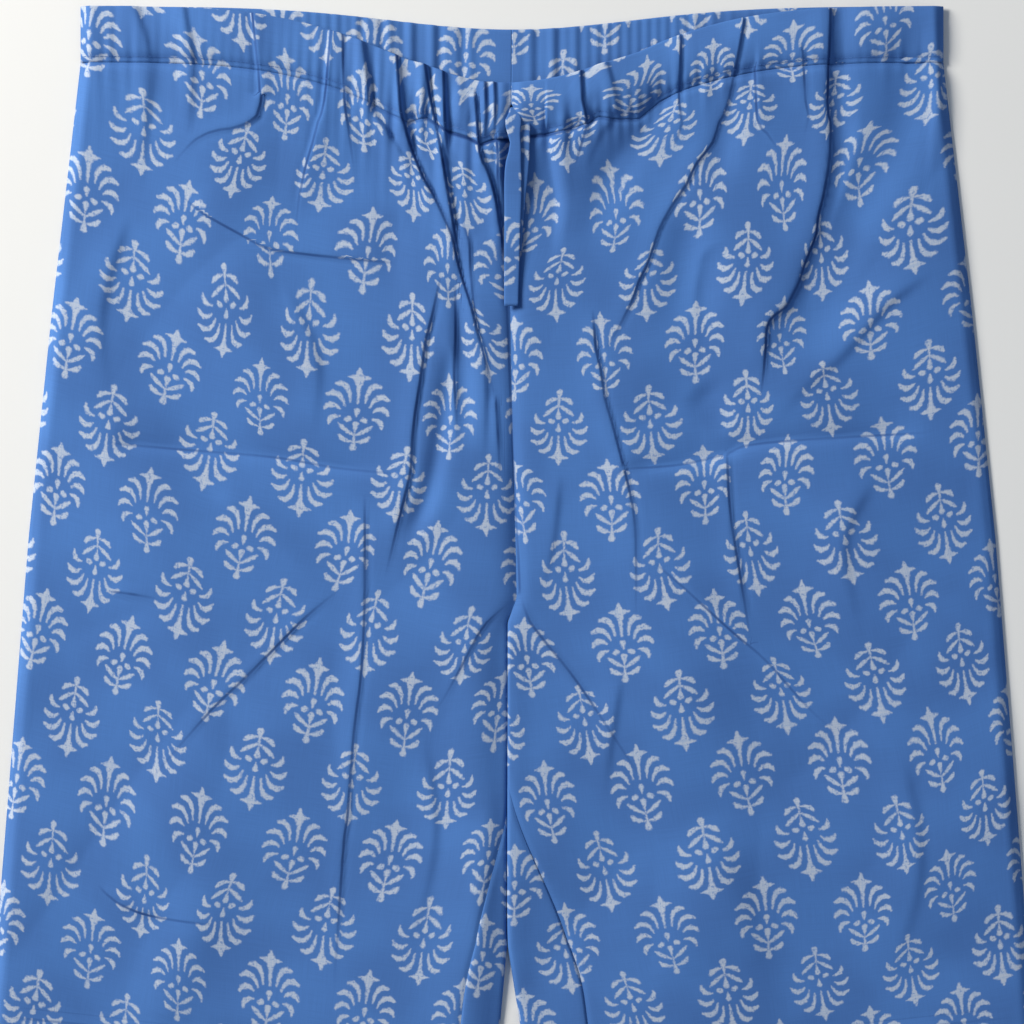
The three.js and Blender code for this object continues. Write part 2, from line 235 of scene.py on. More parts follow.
class FoldField:
    """All the folds of the front, ready to be read at any place."""

    def __init__(self, folds: tuple[Fold, ...]) -> None:
        """Keeps each fold with its smooth line."""
        self.folds = [(fold, fold.dense_line()) for fold in folds]

    def read(self, x: np.ndarray, down: np.ndarray) -> FoldReading:
        """The folds' height at each place, the cloth that they hide and their crease lines, with the
        shade that is painted along them.

        Args:
            x: The places' x.
            down: Their distances down.

        Returns:
            The reading.
        """
        x, down = np.broadcast_arrays(np.asarray(x, float), np.asarray(down, float))
        raised, sunk = np.zeros(x.shape), np.zeros(x.shape)
        shift_x, shift_down = np.zeros(x.shape), np.zeros(x.shape)
        uncreased = np.stack([np.full(x.shape, CREASE_LIMIT), np.zeros(x.shape)], axis=-1)
        creases = tuple(uncreased.copy() for _ in CREASE_MAPS)
        for order, (fold, line) in enumerate(self.folds):
            reach = FOLD_REACH * fold.width
            low, high = line.min(axis=0) - reach, line.max(axis=0) + reach
            if fold.tuck and fold.flank.value[0]:
                low[0], high[0] = min(low[0], 0.0), max(high[0], 0.0)
            near = (x > low[0]) & (x < high[0]) & (down > low[1]) & (down < high[1])
            if not near.any():
                continue
            distance, share, offset = self._nearest(line, np.stack([x[near], down[near]], axis=-1))
            side = offset @ np.array(fold.flank.value)
            rise = 1.0 if fold.starts_full else smooth(share, 0.0, fold.shares[0])
            strength = rise * (1.0 - smooth(share, 1.0 - fold.shares[1], 1.0))
            pressed = LAP_PRESSED if fold.crest is Crest.LAP else 1.0
            change = pressed * fold.height * fold.section(distance, side > 0.0) * strength
            raised[near] = np.maximum(raised[near], change)
            sunk[near] = np.minimum(sunk[near], change)
            # Sharp crests and laps get a crease line of painted shade, whose depth varies along the
            # line.
            if fold.crest is not Crest.ROUND:
                wave = np.sin(share * CREASE_TURNS + CREASE_STEP * order)
                full = min(CREASE_LEAST + CREASE_PER_HEIGHT * abs(fold.height), 1.0)
                marked = full if fold.crest is Crest.LAP else CREASE_SHARP * full
                depth = marked * np.sqrt(strength) * (1.0 - CREASE_VARIES * (1.0 + wave))
                sided = distance * np.where(side > 0.0, 1.0, -1.0)
                self._crease(creases[order % 2], near, sided, depth)
            if fold.tuck and fold.flank.value[0]:
                half = math.copysign(1.0, line[:, 0].mean())
                inner = smooth(-half * offset[:, 0], 0.0, TUCK_RAMP) * (half * x[near] > 0.0)
                grown = smooth(share, 0.0, fold.tuck_rise) if fold.tuck_rise else rise
                ended = 1.0 - smooth(share, TUCK_ENDS, 1.0)
                shift_x[near] -= half * fold.tuck * inner * grown * ended
            elif fold.tuck:
                hidden = 0.5 * fold.tuck * strength * np.sign(side) * np.exp(-distance / TUCK_REACH)
                shift_down[near] += hidden * fold.flank.value[1]
        return FoldReading(raised + sunk, shift_x, shift_down, creases)

    @staticmethod
    def _crease(crease: np.ndarray, near: np.ndarray, distance: np.ndarray, depth: np.ndarray) -> None:
        """Writes one fold's crease line and the depth of its painted shade into a map, where no other
        line of the map is closer.
        """
        known = crease[near]
        closer = np.abs(distance) < np.abs(known[:, 0])
        fade = 1.0 - smooth(np.abs(distance), CREASE_FROM, CREASE_TO)
        known[closer, 0] = distance[closer]
        known[closer, 1] = (depth * fade)[closer]
        crease[near] = known

    @staticmethod
    def _nearest(line: np.ndarray, place: np.ndarray) -> tuple[np.ndarray, np.ndarray, np.ndarray]:
        """The distance to a line, the share along it, and the way from it, for each place."""
        runs = np.diff(line, axis=0)
        lengths = np.maximum(np.linalg.norm(runs, axis=1), LEAST_RUN)
        starts = np.concatenate([[0.0], np.cumsum(lengths)])
        best = np.full(len(place), FAR)
        share = np.zeros(len(place))
        offset = np.zeros_like(place)
        for start, run, length, so_far in zip(line, runs, lengths, starts):
            t = np.clip(((place - start) @ run) / length**2, 0.0, 1.0)
            away = place - (start + t[:, None] * run)
            distance = np.linalg.norm(away, axis=1)
            closer = distance < best
            best[closer] = distance[closer]
            share[closer] = ((so_far + t * length) / starts[-1])[closer]
            offset[closer] = away[closer]
        return best, share, offset


OUTLINE = (
    OutlineRow(85.5, 35.5, 0, 280),
    OutlineRow(245, 200, 0, 299),
    OutlineRow(384, 345, 0, 314),
    OutlineRow(610, 573, 0, 332),
    OutlineRow(690, 654, 10, 338),
    OutlineRow(790, 754, 32, 345),
    OutlineRow(LENGTH, 995, 84, 357),
)
BACK_WAIST_DOWN = 50.3

# The folds that come out of the gathers, from the wearer's right to the left.
GATHER_FOLDS = (
    Fold(((-246, 0), (-236, 40), (-244, 130)), 1.8, 10, Flank.RIGHTWARD, starts_full=True),
    Fold(((-214, 0), (-208, 40), (-212, 96)), 1.8, 8, Flank.RIGHTWARD, starts_full=True),
    Fold(
        ((-168, 0), (-163, 62), (-175, 77), (-190, 80), (-205, 86), (-222, 104)),
        2.0, 7, Flank.TO_HEM, Crest.LAP, starts_full=True,
    ),
    Fold(
        (
            (-116, 10), (-121, 62), (-125, 75), (-129, 90), (-133, 103), (-136, 117), (-138, 128),
            (-140, 150),
        ),
        2.4, 9, Flank.LEFTWARD, Crest.LAP, starts_full=True, tuck=2,
    ),
    Fold(
        ((-110, 20), (-109, 62), (-107, 75), (-105, 90), (-103, 106)),
        2.0, 8, Flank.RIGHTWARD, Crest.LAP, starts_full=True,
    ),
    Fold(
        (
            (-98, 20), (-92, 64), (-85, 75), (-75, 90), (-68, 101), (-60, 114), (-52, 128),
            (-44, 142), (-40, 150),
        ),
        3.0, 7, Flank.RIGHTWARD, starts_full=True,
    ),
    Fold(
        (
            (-76, 20), (-73, 62), (-70, 73), (-67, 86), (-63, 99), (-58, 112), (-52, 122),
            (-47, 132), (-43, 141), (-39, 150), (-37, 160), (-33, 175), (-29, 187), (-26, 197),
            (-23, 210), (-20, 220), (-16, 235), (-13, 247), (-11, 256),
        ),
        3.6, 8, Flank.RIGHTWARD, Crest.LAP, starts_full=True, shares=(0.25, 0.3), tuck=18,
        tuck_rise=0.85,
    ),
    Fold(
        (
            (-58, 30), (-53.5, 62), (-50, 77), (-47, 92), (-44.5, 106), (-41.5, 124), (-38.7, 140),
            (-35.6, 158),
        ),
        3.8, 6, Flank.RIGHTWARD, Crest.LAP, starts_full=True, shares=(0.25, 0.12), tuck=3,
    ),
    Fold(
        ((-45, 40), (-44, 72), (-43, 85), (-40, 104)),
        2.4, 5, Flank.RIGHTWARD, Crest.LAP, starts_full=True,
    ),
    Fold(
        ((-33, 140), (-28, 152), (-27, 170), (-25, 190), (-22, 212)),
        1.8, 5, Flank.RIGHTWARD, Crest.LAP, tuck=8,
    ),
    Fold(
        ((-24, 60), (-21, 92), (-17, 103), (-13, 115), (-10, 127), (-8, 140), (-6, 150), (-5, 166)),
        3.6, 5, Flank.RIGHTWARD, Crest.LAP, starts_full=True, shares=(0.25, 0.2),
    ),
    Fold(
        ((-9, 84), (-8, 97), (-8, 110), (-7, 120), (-7, 136)),
        2.4, 3.4, Flank.LEFTWARD, Crest.LAP, starts_full=True,
    ),
    Fold(((-18, 40), (-17, 70), (-18, 88)), 2.0, 2.6, Flank.RIGHTWARD, Crest.LAP, starts_full=True),
    Fold(((-12, 40), (-11, 70), (-12, 88)), 2.0, 2.4, Flank.RIGHTWARD, Crest.LAP, starts_full=True),
    Fold(((-32, 62), (-31, 72), (-33, 80)), 1.8, 9, starts_full=True),
    Fold(((22, 84), (26, 104), (27, 134), (22, 176)), -3.8, 19, Flank.RIGHTWARD, starts_full=True),
    Fold(((27, 92), (30, 112), (34, 130)), 1.6, 8, Flank.LEFTWARD, starts_full=True),
    Fold(
        ((44, 30), (45, 62), (48, 75), (46, 86), (43, 96), (40, 106)),
        2.4, 6, Flank.RIGHTWARD, Crest.LAP, starts_full=True, tuck=3,
    ),
    Fold(((58, 30), (66, 64), (56, 84), (44, 112)), 1.8, 8, Flank.RIGHTWARD, starts_full=True),
    Fold(((96, 60), (80, 84), (64, 112), (54, 140), (46, 176)), -3.4, 12, starts_full=True),
    Fold(
        ((109, 20), (108, 62), (110, 76), (104, 92)),
        1.8, 6, Flank.RIGHTWARD, Crest.LAP, starts_full=True,
    ),
    Fold(
        (
            (150, 10), (140, 62), (134, 75), (130, 88), (122, 98), (117, 106), (113, 115),
            (106, 125), (100, 135), (95, 145), (91, 157), (87, 168), (82, 178), (78, 190), (73, 200),
            (68, 210), (58, 226),
        ),
        1.7, 9, Flank.RIGHTWARD, Crest.LAP, starts_full=True, shares=(0.25, 0.25), tuck=4,
    ),
    Fold(((122, 128), (112, 160), (106, 196), (92, 226)), -2.8, 12),
    Fold(((142, 60), (136, 96), (130, 128)), -2.4, 10, starts_full=True),
    Fold(
        ((158, 40), (160, 74), (166, 82), (174, 94)),
        1.6, 8, Flank.LEFTWARD, Crest.LAP, starts_full=True,
    ),
    Fold(
        ((188, 30), (190, 62), (192, 72), (189, 84)),
        1.4, 7, Flank.RIGHTWARD, Crest.LAP, starts_full=True,
    ),
    Fold(
        (
            (206, 0), (204, 62), (206, 75), (206, 90), (205, 103), (203, 115), (201, 125),
            (198, 137), (197, 147), (193, 158), (189, 168), (186, 178), (181, 188), (177, 195),
            (170, 200), (165, 207), (164, 220), (163, 235), (161, 254),
        ),
        2.8, 13, Flank.RIGHTWARD, Crest.LAP, starts_full=True, shares=(0.25, 0.15), tuck=3,
    ),
    Fold(
        (
            (262, 20), (252, 84), (236, 110), (222, 134), (212, 160), (200, 184), (184, 214),
            (170, 250),
        ),
        -4.2, 17, starts_full=True, shares=(0.1, 0.35),
    ),
    Fold(
        (
            (214, 0), (213, 62), (215, 90), (211, 125), (202, 158), (190, 188), (178, 208),
            (173, 235), (170, 254),
        ),
        -2.8, 8, starts_full=True, shares=(0.1, 0.3),
    ),
    Fold(((280, 0), (276, 60), (270, 130)), 1.8, 10, Flank.LEFTWARD, starts_full=True),
)

# The drag lines and soft folds of the body and the thighs.
BODY_FOLDS = (
    Fold(
        (
            (-46, 172), (-52, 200), (-56, 215), (-58, 228), (-60, 243), (-63, 262), (-65, 280),
            (-66, 300), (-69, 314), (-73, 330), (-83, 372),
        ),
        2.2, 9, Flank.RIGHTWARD, Crest.LAP, shares=(0.2, 0.3), tuck=2,
    ),
    Fold(
        ((-38, 212), (-41, 235), (-46, 275), (-52, 308), (-59, 328), (-72, 352)),
        -3.2, 6.5, shares=(0.2, 0.2),
    ),
    Fold(
        ((-2.6, 192), (-1.5, 240), (-0.6, 290), (0.3, 330), (1.3, 358), (1.8, 382)),
        1.0, 4, Flank.RIGHTWARD, Crest.LAP, starts_full=True, shares=(0.1, 0.02),
    ),
    Fold(((-33, 150), (-33, 200), (-32, 250), (-30, 296)), -2.6, 7, shares=(0.2, 0.3)),
    Fold(
        ((-37, 180), (-37, 215), (-38, 240), (-36, 274)),
        2.2, 9, Flank.RIGHTWARD, Crest.LAP, shares=(0.2, 0.4),
    ),
    Fold(((-76, 128), (-77, 170), (-76, 216)), -1.2, 11),
    Fold(((-11, 252), (-10, 275), (-9, 306)), 1.3, 4, Flank.RIGHTWARD, Crest.LAP, shares=(0.1, 0.6)),
    Fold(((-20, 210), (-18, 250), (-20, 300)), 1.6, 8, Flank.RIGHTWARD),
    Fold(
        ((-212, 124), (-200, 134), (-177, 147), (-160, 156), (-145, 159), (-109, 163), (-76, 166)),
        1.6, 12, Flank.TO_HEM, Crest.LAP, shares=(0.1, 0.2), tuck=7,
    ),
    Fold(
        ((52, 196), (54, 222), (57, 235), (60, 255), (66, 276), (78, 326), (80, 361), (80, 398)),
        1.7, 10, Flank.RIGHTWARD, Crest.LAP, shares=(0.1, 0.5),
    ),
    Fold(
        ((276, 168), (245, 190), (225, 212), (210, 228), (195, 240), (180, 255), (162, 278)),
        2.0, 13, Flank.TO_HEM,
    ),
    Fold(
        ((-4, 387), (-18, 404), (-24, 413), (-45, 450), (-52, 458)),
        1.0, 6, Flank.TO_HEM, Crest.LAP,
    ),
    Fold(((2, 383), (22, 412), (43, 440), (84, 502)), 1.3, 6, Flank.TO_WAIST, Crest.LAP),
    Fold(
        ((92, 360), (112, 377), (124, 388), (145, 407), (165, 424), (192, 454), (210, 470)),
        1.5, 8, Flank.TO_HEM, Crest.LAP,
    ),
    Fold(
        ((-112, 378), (-134, 396), (-157, 419), (-175, 437), (-193, 454), (-211, 474), (-235, 502)),
        1.5, 8, Flank.TO_HEM, Crest.LAP,
    ),
    Fold(((-262, 379), (-246, 381), (-230, 384)), 1.1, 4, Flank.TO_HEM, Crest.LAP),
    Fold(((-268, 570), (-256, 581), (-233, 590), (-190, 596)), 1.8, 9, Flank.TO_HEM, Crest.LAP),
    Fold(((70, 430), (64, 470), (57, 520)), 1.4, 11, Flank.RIGHTWARD),
    Fold(((118, 246), (134, 266), (140, 292)), -2.4, 11),
    Fold(((130, 150), (126, 180), (118, 216)), -1.8, 10),
    Fold(((-8, 500), (-16, 560), (-26, 640)), 1.4, 9),
    Fold(((120, 520), (150, 600), (172, 690)), 1.8, 16),
    Fold(((-190, 560), (-226, 650), (-240, 740)), 1.8, 18),
    Fold(((-250, 130), (-268, 200), (-262, 262)), 1.9, 14, Flank.RIGHTWARD),
    Fold(((-150, 180), (-128, 230), (-132, 286)), 1.6, 13, Flank.RIGHTWARD),
    Fold(((-200, 310), (-150, 350), (-128, 372)), 1.4, 12, Flank.TO_HEM),
    Fold(((236, 300), (214, 348), (226, 420)), 1.7, 15, Flank.RIGHTWARD),
    Fold(((30, 300), (24, 350), (12, 386)), 1.1, 10, Flank.RIGHTWARD),
    Fold(((-60, 470), (-52, 540), (-70, 620)), 1.6, 14, Flank.RIGHTWARD),
    Fold(((250, 480), (262, 560), (240, 640)), 1.8, 17, Flank.RIGHTWARD),
)

# Lines that ironing and packing have pressed in: shallow and straight.
PRESSED_LINES = (
    Fold(
        ((-262, 283), (-216, 287), (-156, 292), (-114, 299), (-74, 303)),
        -3.2, 17, Flank.TO_HEM, Crest.SHARP, shares=(0.1, 0.2),
    ),
    Fold(
        ((70, 300), (109, 297), (139, 290), (163, 283), (270, 276)),
        -3.4, 17, Flank.TO_HEM, Crest.SHARP, shares=(0.1, 0.15),
    ),
    Fold(
        ((-96, 316), (-96, 379), (-98, 430), (-103, 472), (-107, 523), (-110, 549), (-116, 640)),
        1.4, 8, Flank.RIGHTWARD, Crest.LAP, shares=(0.1, 0.3),
    ),
    Fold(
        ((139, 288), (141, 326), (147, 366), (154, 408)),
        1.6, 9, Flank.RIGHTWARD, Crest.LAP, shares=(0.1, 0.3),
    ),
    Fold(
        ((-330, 655), (-200, 668), (-60, 676)),
        -1.6, 12, Flank.TO_HEM, Crest.SHARP, shares=(0.1, 0.2),
    ),
    Fold(((70, 676), (200, 668), (330, 655)), -1.6, 12, Flank.TO_HEM, Crest.SHARP, shares=(0.1, 0.2)),
    Fold(
        ((-180, 700), (-190, 800), (-208, 1000)),
        1.2, 10, Flank.RIGHTWARD, Crest.SHARP, shares=(0.1, 0.1),
    ),
    Fold(
        ((176, 700), (190, 800), (206, 1000)),
        1.2, 10, Flank.RIGHTWARD, Crest.SHARP, shares=(0.1, 0.1),
    ),
    Fold(((-300, 760), (-240, 800), (-150, 880)), 1.8, 14, Flank.TO_HEM),
    Fold(((130, 770), (220, 850), (300, 900)), 1.8, 14, Flank.TO_HEM),
    Fold(((-120, 820), (-170, 900), (-190, 970)), 1.7, 16, Flank.RIGHTWARD),
    Fold(((270, 720), (280, 830), (300, 930)), 1.7, 16, Flank.RIGHTWARD),
)
ALL_FOLDS = GATHER_FOLDS + BODY_FOLDS + PRESSED_LINES


@dataclass(frozen=True)
class PrintLayout:
    """Where the blocks were set down on one panel: the origin is the centre of an upright sprig.

    lean gives the x of a lengthwise thread at distances down, and rise gives how far a
    crosswise thread has dropped at places across.
    """

    across: float
    down: float
    pitch_across: float
    pitch_down: float
    lean: tuple[tuple[float, float], ...]
    rise: tuple[tuple[float, float], ...]

    def cells(
        self, across: np.ndarray, x: np.ndarray, down: np.ndarray
    ) -> tuple[np.ndarray, np.ndarray]:
        """The print's own coordinates, counted in blocks.

        Args:
            across: The distance across, measured along the cloth.
            x: The places' x as they lie.
            down: Their distances down.

        Returns:
            The block counts across and up.
        """
        lean_at, lean_by = zip(*self.lean)
        rise_at, rise_by = zip(*self.rise)
        u = (across - np.interp(down, lean_at, lean_by) - self.across) / self.pitch_across
        v = (down - np.interp(x, rise_at, rise_by) - self.down) / self.pitch_down
        return u, -v


FRONT_PRINT = {
    Half.RIGHT: PrintLayout(
        -110.5, 354, 61.8, 98.7,
        lean=((0, 26), (150, 16), (250, 9), (350, 0), (450, -17), (545, -30), (1031, -98)),
        rise=((-360, -62), (-255, -33), (-200, -13), (-165, -8), (-110, 0), (-50, 6), (0, 10)),
    ),
    Half.LEFT: PrintLayout(
        124, 312, 60, 94.7,
        lean=((0, -4), (120, -4), (215, -4), (310, 0), (405, 12), (500, 26), (1031, 100)),
        rise=((0, 15), (60, 8), (125, 0), (180, -7), (240, -19), (360, -46)),
    ),
}
BACK_PRINT = {
    Half.RIGHT: PrintLayout(40, 521, 61.8, 98.7, lean=((0, 0), (1031, 0)), rise=((-360, -40), (0, 0))),
    Half.LEFT: PrintLayout(8, 571, 60, 94.7, lean=((0, 0), (1031, 0)), rise=((0, 0), (360, -40))),
}


# The middle of each sprig that shows, as x and down where it lies, with the column and the row
# of its block in the repeat. The turned sprigs have half numbers. The one that the gathers
# squeeze beside the ties has a place for each of its sides too.
SPRIG_PLACES = {
    Half.RIGHT: (
        (-17, 74, 2, 3), (-56, 77, 1, 3), (-97, 69, 0, 3), (-146, 61, -1, 3), (-200, 47, -2, 3),
        (-237, 82, -2.5, 2.5), (-178, 101, -1.5, 2.5), (-124, 110, -0.5, 2.5), (-64, 115, 0.5, 2.5),
        (-31, 122, 1.5, 2.5),
        (-276, 122, -3, 2), (-211, 139, -2, 2), (-158, 149, -1, 2), (-94, 160, 0, 2), (-42, 170, 1, 2),
        (-5, 172, 2, 2),
        (-246, 179, -2.5, 1.5), (-184, 198, -1.5, 1.5), (-132, 208, -0.5, 1.5), (-66, 215, 0.5, 1.5),
        (-20, 215, 1.5, 1.5),
        (-222, 235, -2, 1), (-164, 254, -1, 1), (-100, 264, 0, 1), (-41, 268, 1, 1),
        (-262, 271, -2.5, 0.5), (-197, 286, -1.5, 0.5), (-135.5, 302.5, -0.5, 0.5),
        (-73, 310, 0.5, 0.5),
        (-16, 315, 1.5, 0.5),
        (-237, 327, -2, 0), (-173, 345, -1, 0), (-107, 354, 0, 0), (-51, 361, 1, 0),
        (-213, 382, -1.5, -0.5), (-152, 397, -0.5, -0.5), (-92.5, 405, 0.5, -0.5),
        (-30, 416, 1.5, -0.5),
        (-251, 421, -2, -1), (-192, 441, -1, -1), (-127, 452, 0, -1), (-68, 459, 1, -1),
        (-9, 456, 2, -1),
        (-229, 474, -1.5, -1.5), (-167, 493, -0.5, -1.5), (-104, 503, 0.5, -1.5), (-41, 510, 1.5, -1.5),
        (-262, 514, -2, -2), (-205, 536, -1, -2), (-141, 546, 0, -2), (-78, 556, 1, -2),
        (-16, 549, 2, -2),
        (-237, 579, -1.5, -2.5), (-187, 586, -0.5, -2.5), (-122, 597, 0.5, -2.5), (-57, 607, 1.5, -2.5),
    ),
    Half.LEFT: (
        (16, 43, -2, 3), (70, 40, -1, 3), (126, 28, 0, 3), (180, 20, 1, 3),
        (25, 88, -1.8, 2.5), (38, 85, -1.5, 2.5), (51, 82, -1.2, 2.5), (100, 80, -0.5, 2.5),
        (154, 65, 0.5, 2.5),
        (13, 140, -2, 2), (67, 134, -1, 2), (122, 122, 0, 2), (175, 117, 1, 2), (225, 103, 2, 2),
        (30, 178, -1.5, 1.5), (87, 176, -0.5, 1.5), (152, 167, 0.5, 1.5), (200, 163, 1.5, 1.5),
        (257, 148, 2.5, 1.5),
        (3, 229, -2, 1), (60, 228, -1, 1), (120, 220, 0, 1), (173, 215, 1, 1), (232, 205, 2, 1),
        (30, 274, -1.5, 0.5), (90, 269, -0.5, 0.5), (152, 261, 0.5, 0.5), (205, 253, 1.5, 0.5),
        (3, 318, -2, 0), (65, 320, -1, 0), (125, 312, 0, 0), (177, 304, 1, 0), (243, 294, 2, 0),
        (35, 371, -1.5, -0.5), (97, 364, -0.5, -0.5), (155, 352, 0.5, -0.5), (216, 345, 1.5, -0.5),
        (280, 335, 2.5, -0.5),
        (10, 422, -2, -1), (73, 416, -1, -1), (135, 406, 0, -1), (193, 401, 1, -1), (259, 387, 2, -1),
        (48, 464, -1.5, -1.5), (110, 455, -0.5, -1.5), (174, 445, 0.5, -1.5), (236, 438, 1.5, -1.5),
        (22, 515, -2, -2), (84, 510, -1, -2), (150, 499, 0, -2), (213, 491, 1, -2), (275, 483, 2, -2),
        (60, 560, -1.5, -2.5), (126, 551, -0.5, -2.5), (191, 540, 0.5, -2.5), (254, 537, 1.5, -2.5),
        (36, 611, -2, -3), (100, 605, -1, -3), (166, 594, 0, -3), (229, 590, 1, -3),
    ),
}


class PrintEasing:
    """Eases one front's print onto the places where its sprigs lie."""

    reach: float = 42.0
    slack: float = 0.02

    def __init__(self, half: Half, x: np.ndarray, down: np.ndarray, cells: np.ndarray) -> None:
        """Works out how far each sprig is from its place.

        Args:
            half: The half of the garment.
            x: The x of the front's points.
            down: Their distances down.
            cells: The print's coordinates there, before they are eased.
        """
        places = np.array(SPRIG_PLACES[half], float)
        self.centres = places[:, :2]
        nearest = [int(np.argmin((x - at) ** 2 + (down - below) ** 2)) for at, below in self.centres]
        missed = places[:, 2:] - cells.reshape(-1, 2)[nearest]
        pull = self._pull(self.centres[:, 0], self.centres[:, 1])
        self.weights = np.linalg.solve(pull + self.slack * np.eye(len(pull)), missed)
        furthest = float(np.abs(missed).max())
        LOG.info("print %s: sprigs eased by up to %.2f of a block", half.value, furthest)

    def _pull(self, x: np.ndarray, down: np.ndarray) -> np.ndarray:
        """How strongly each sprig's place is felt at some other places."""
        away = (x[..., None] - self.centres[:, 0]) ** 2 + (down[..., None] - self.centres[:, 1]) ** 2
        return np.exp(-away / self.reach**2)

    def eased(self, x: np.ndarray, down: np.ndarray, cells: np.ndarray) -> np.ndarray:
        """The print's coordinates, eased."""
        return cells + self._pull(*np.broadcast_arrays(x, down)) @ self.weights


@dataclass(frozen=True)
class Wave:
    """A sine wave over the cloth that itself sways. Its lengths are in millimetres to a radian."""

    across: float = math.inf
    along: float = math.inf
    sway: float = 0.0
    sway_across: float = math.inf
    sway_along: float = math.inf
    phase: float = 0.0

    def at(self, x: np.ndarray, down: np.ndarray) -> np.ndarray:
        """The wave's value at some places."""
        swayed = self.sway * np.sin(x / self.sway_across + down / self.sway_along)
        return np.sin(x / self.across + down / self.along + swayed + self.phase)


@dataclass(frozen=True)
class Swell:
    """A soft unevenness: the product of two waves, with its height."""

    height: float
    first: Wave
    second: Wave


SWELLS = (
    Swell(1.5, Wave(37.0, sway=1.7, sway_along=83.0), Wave(along=61.0, sway=1.2, sway_across=71.0)),
    Swell(0.16, Wave(13.0, 29.0, sway=1.4, sway_along=37.0), Wave(-47.0, 23.0)),
    Swell(1.05, Wave(21.0, -160.0, sway=1.1, sway_along=97.0), Wave(113.0, phase=0.7)),
)
RUMPLE = (
    Wave(29.0, sway=1.9, sway_across=67.0, sway_along=53.0),
    Wave(along=34.0, sway=1.6, sway_across=43.0),
)
RUMPLE_HEIGHT = 0.55


@dataclass(frozen=True)
class Gathers:
    """The fine gathers either side of the casing's seam, uneven in pitch and height.

    Lengths are in millimetres. The gathers lie pitch apart near the middle, and crowding spaces
    them out further on. They run for run below the seam, times a share for the left front and
    one for the right, and each has its own pull. A second, finer set lies across them.
    """

    height: float = 1.5
    pitch: float = 9.0
    crowding: float = 3.4
    crowded_over: float = 60.0
    run: float = 24.0
    run_shares: tuple[float, float] = (0.45, 1.25)
    run_end: float = 1.3
    sway: float = 0.9
    sway_side: float = 17.0
    sway_across: float = 90.0
    lean: float = 0.5
    pull_side: float = 23.0
    pull_across: float = 0.013
    second_height: float = 0.35
    second_pitch: float = 1.73
    second_phase: float = 1.3
    second_across: float = 31.0
    middle: tuple[float, float] = (10.0, 26.0)
    sides: tuple[float, float] = (90.0, 160.0)
    side_calm: float = 0.8

    def at(self, x: np.ndarray, below_seam: np.ndarray) -> np.ndarray:
        """The gathers' height at some places.

        Args:
            x: The places' x.
            below_seam: Their distances below the seam.

        Returns:
            The heights.
        """
        side = np.abs(x)
        spacing = side / self.pitch - self.crowding * np.log1p(side / self.crowded_over)
        crowd = 2.0 * math.pi * spacing
        lean = below_seam / self.run
        sway = self.sway * np.sin(side / self.sway_side + x / self.sway_across)
        wave = np.sin(crowd + sway + self.lean * lean)
        second = np.sin(self.second_pitch * crowd + self.second_phase + x / self.second_across - lean)
        pull = 0.5 + 0.5 * np.sin(side / self.pull_side + self.pull_across * x)
        spread = np.where(x > 0.0, *self.run_shares)
        fade = np.exp(-((np.abs(lean) / spread) ** self.run_end))
        gathered = smooth(side, *self.middle) * (1.0 - self.side_calm * smooth(side, *self.sides))
        return self.height * (wave * pull**2 + self.second_height * second) * fade * gathered


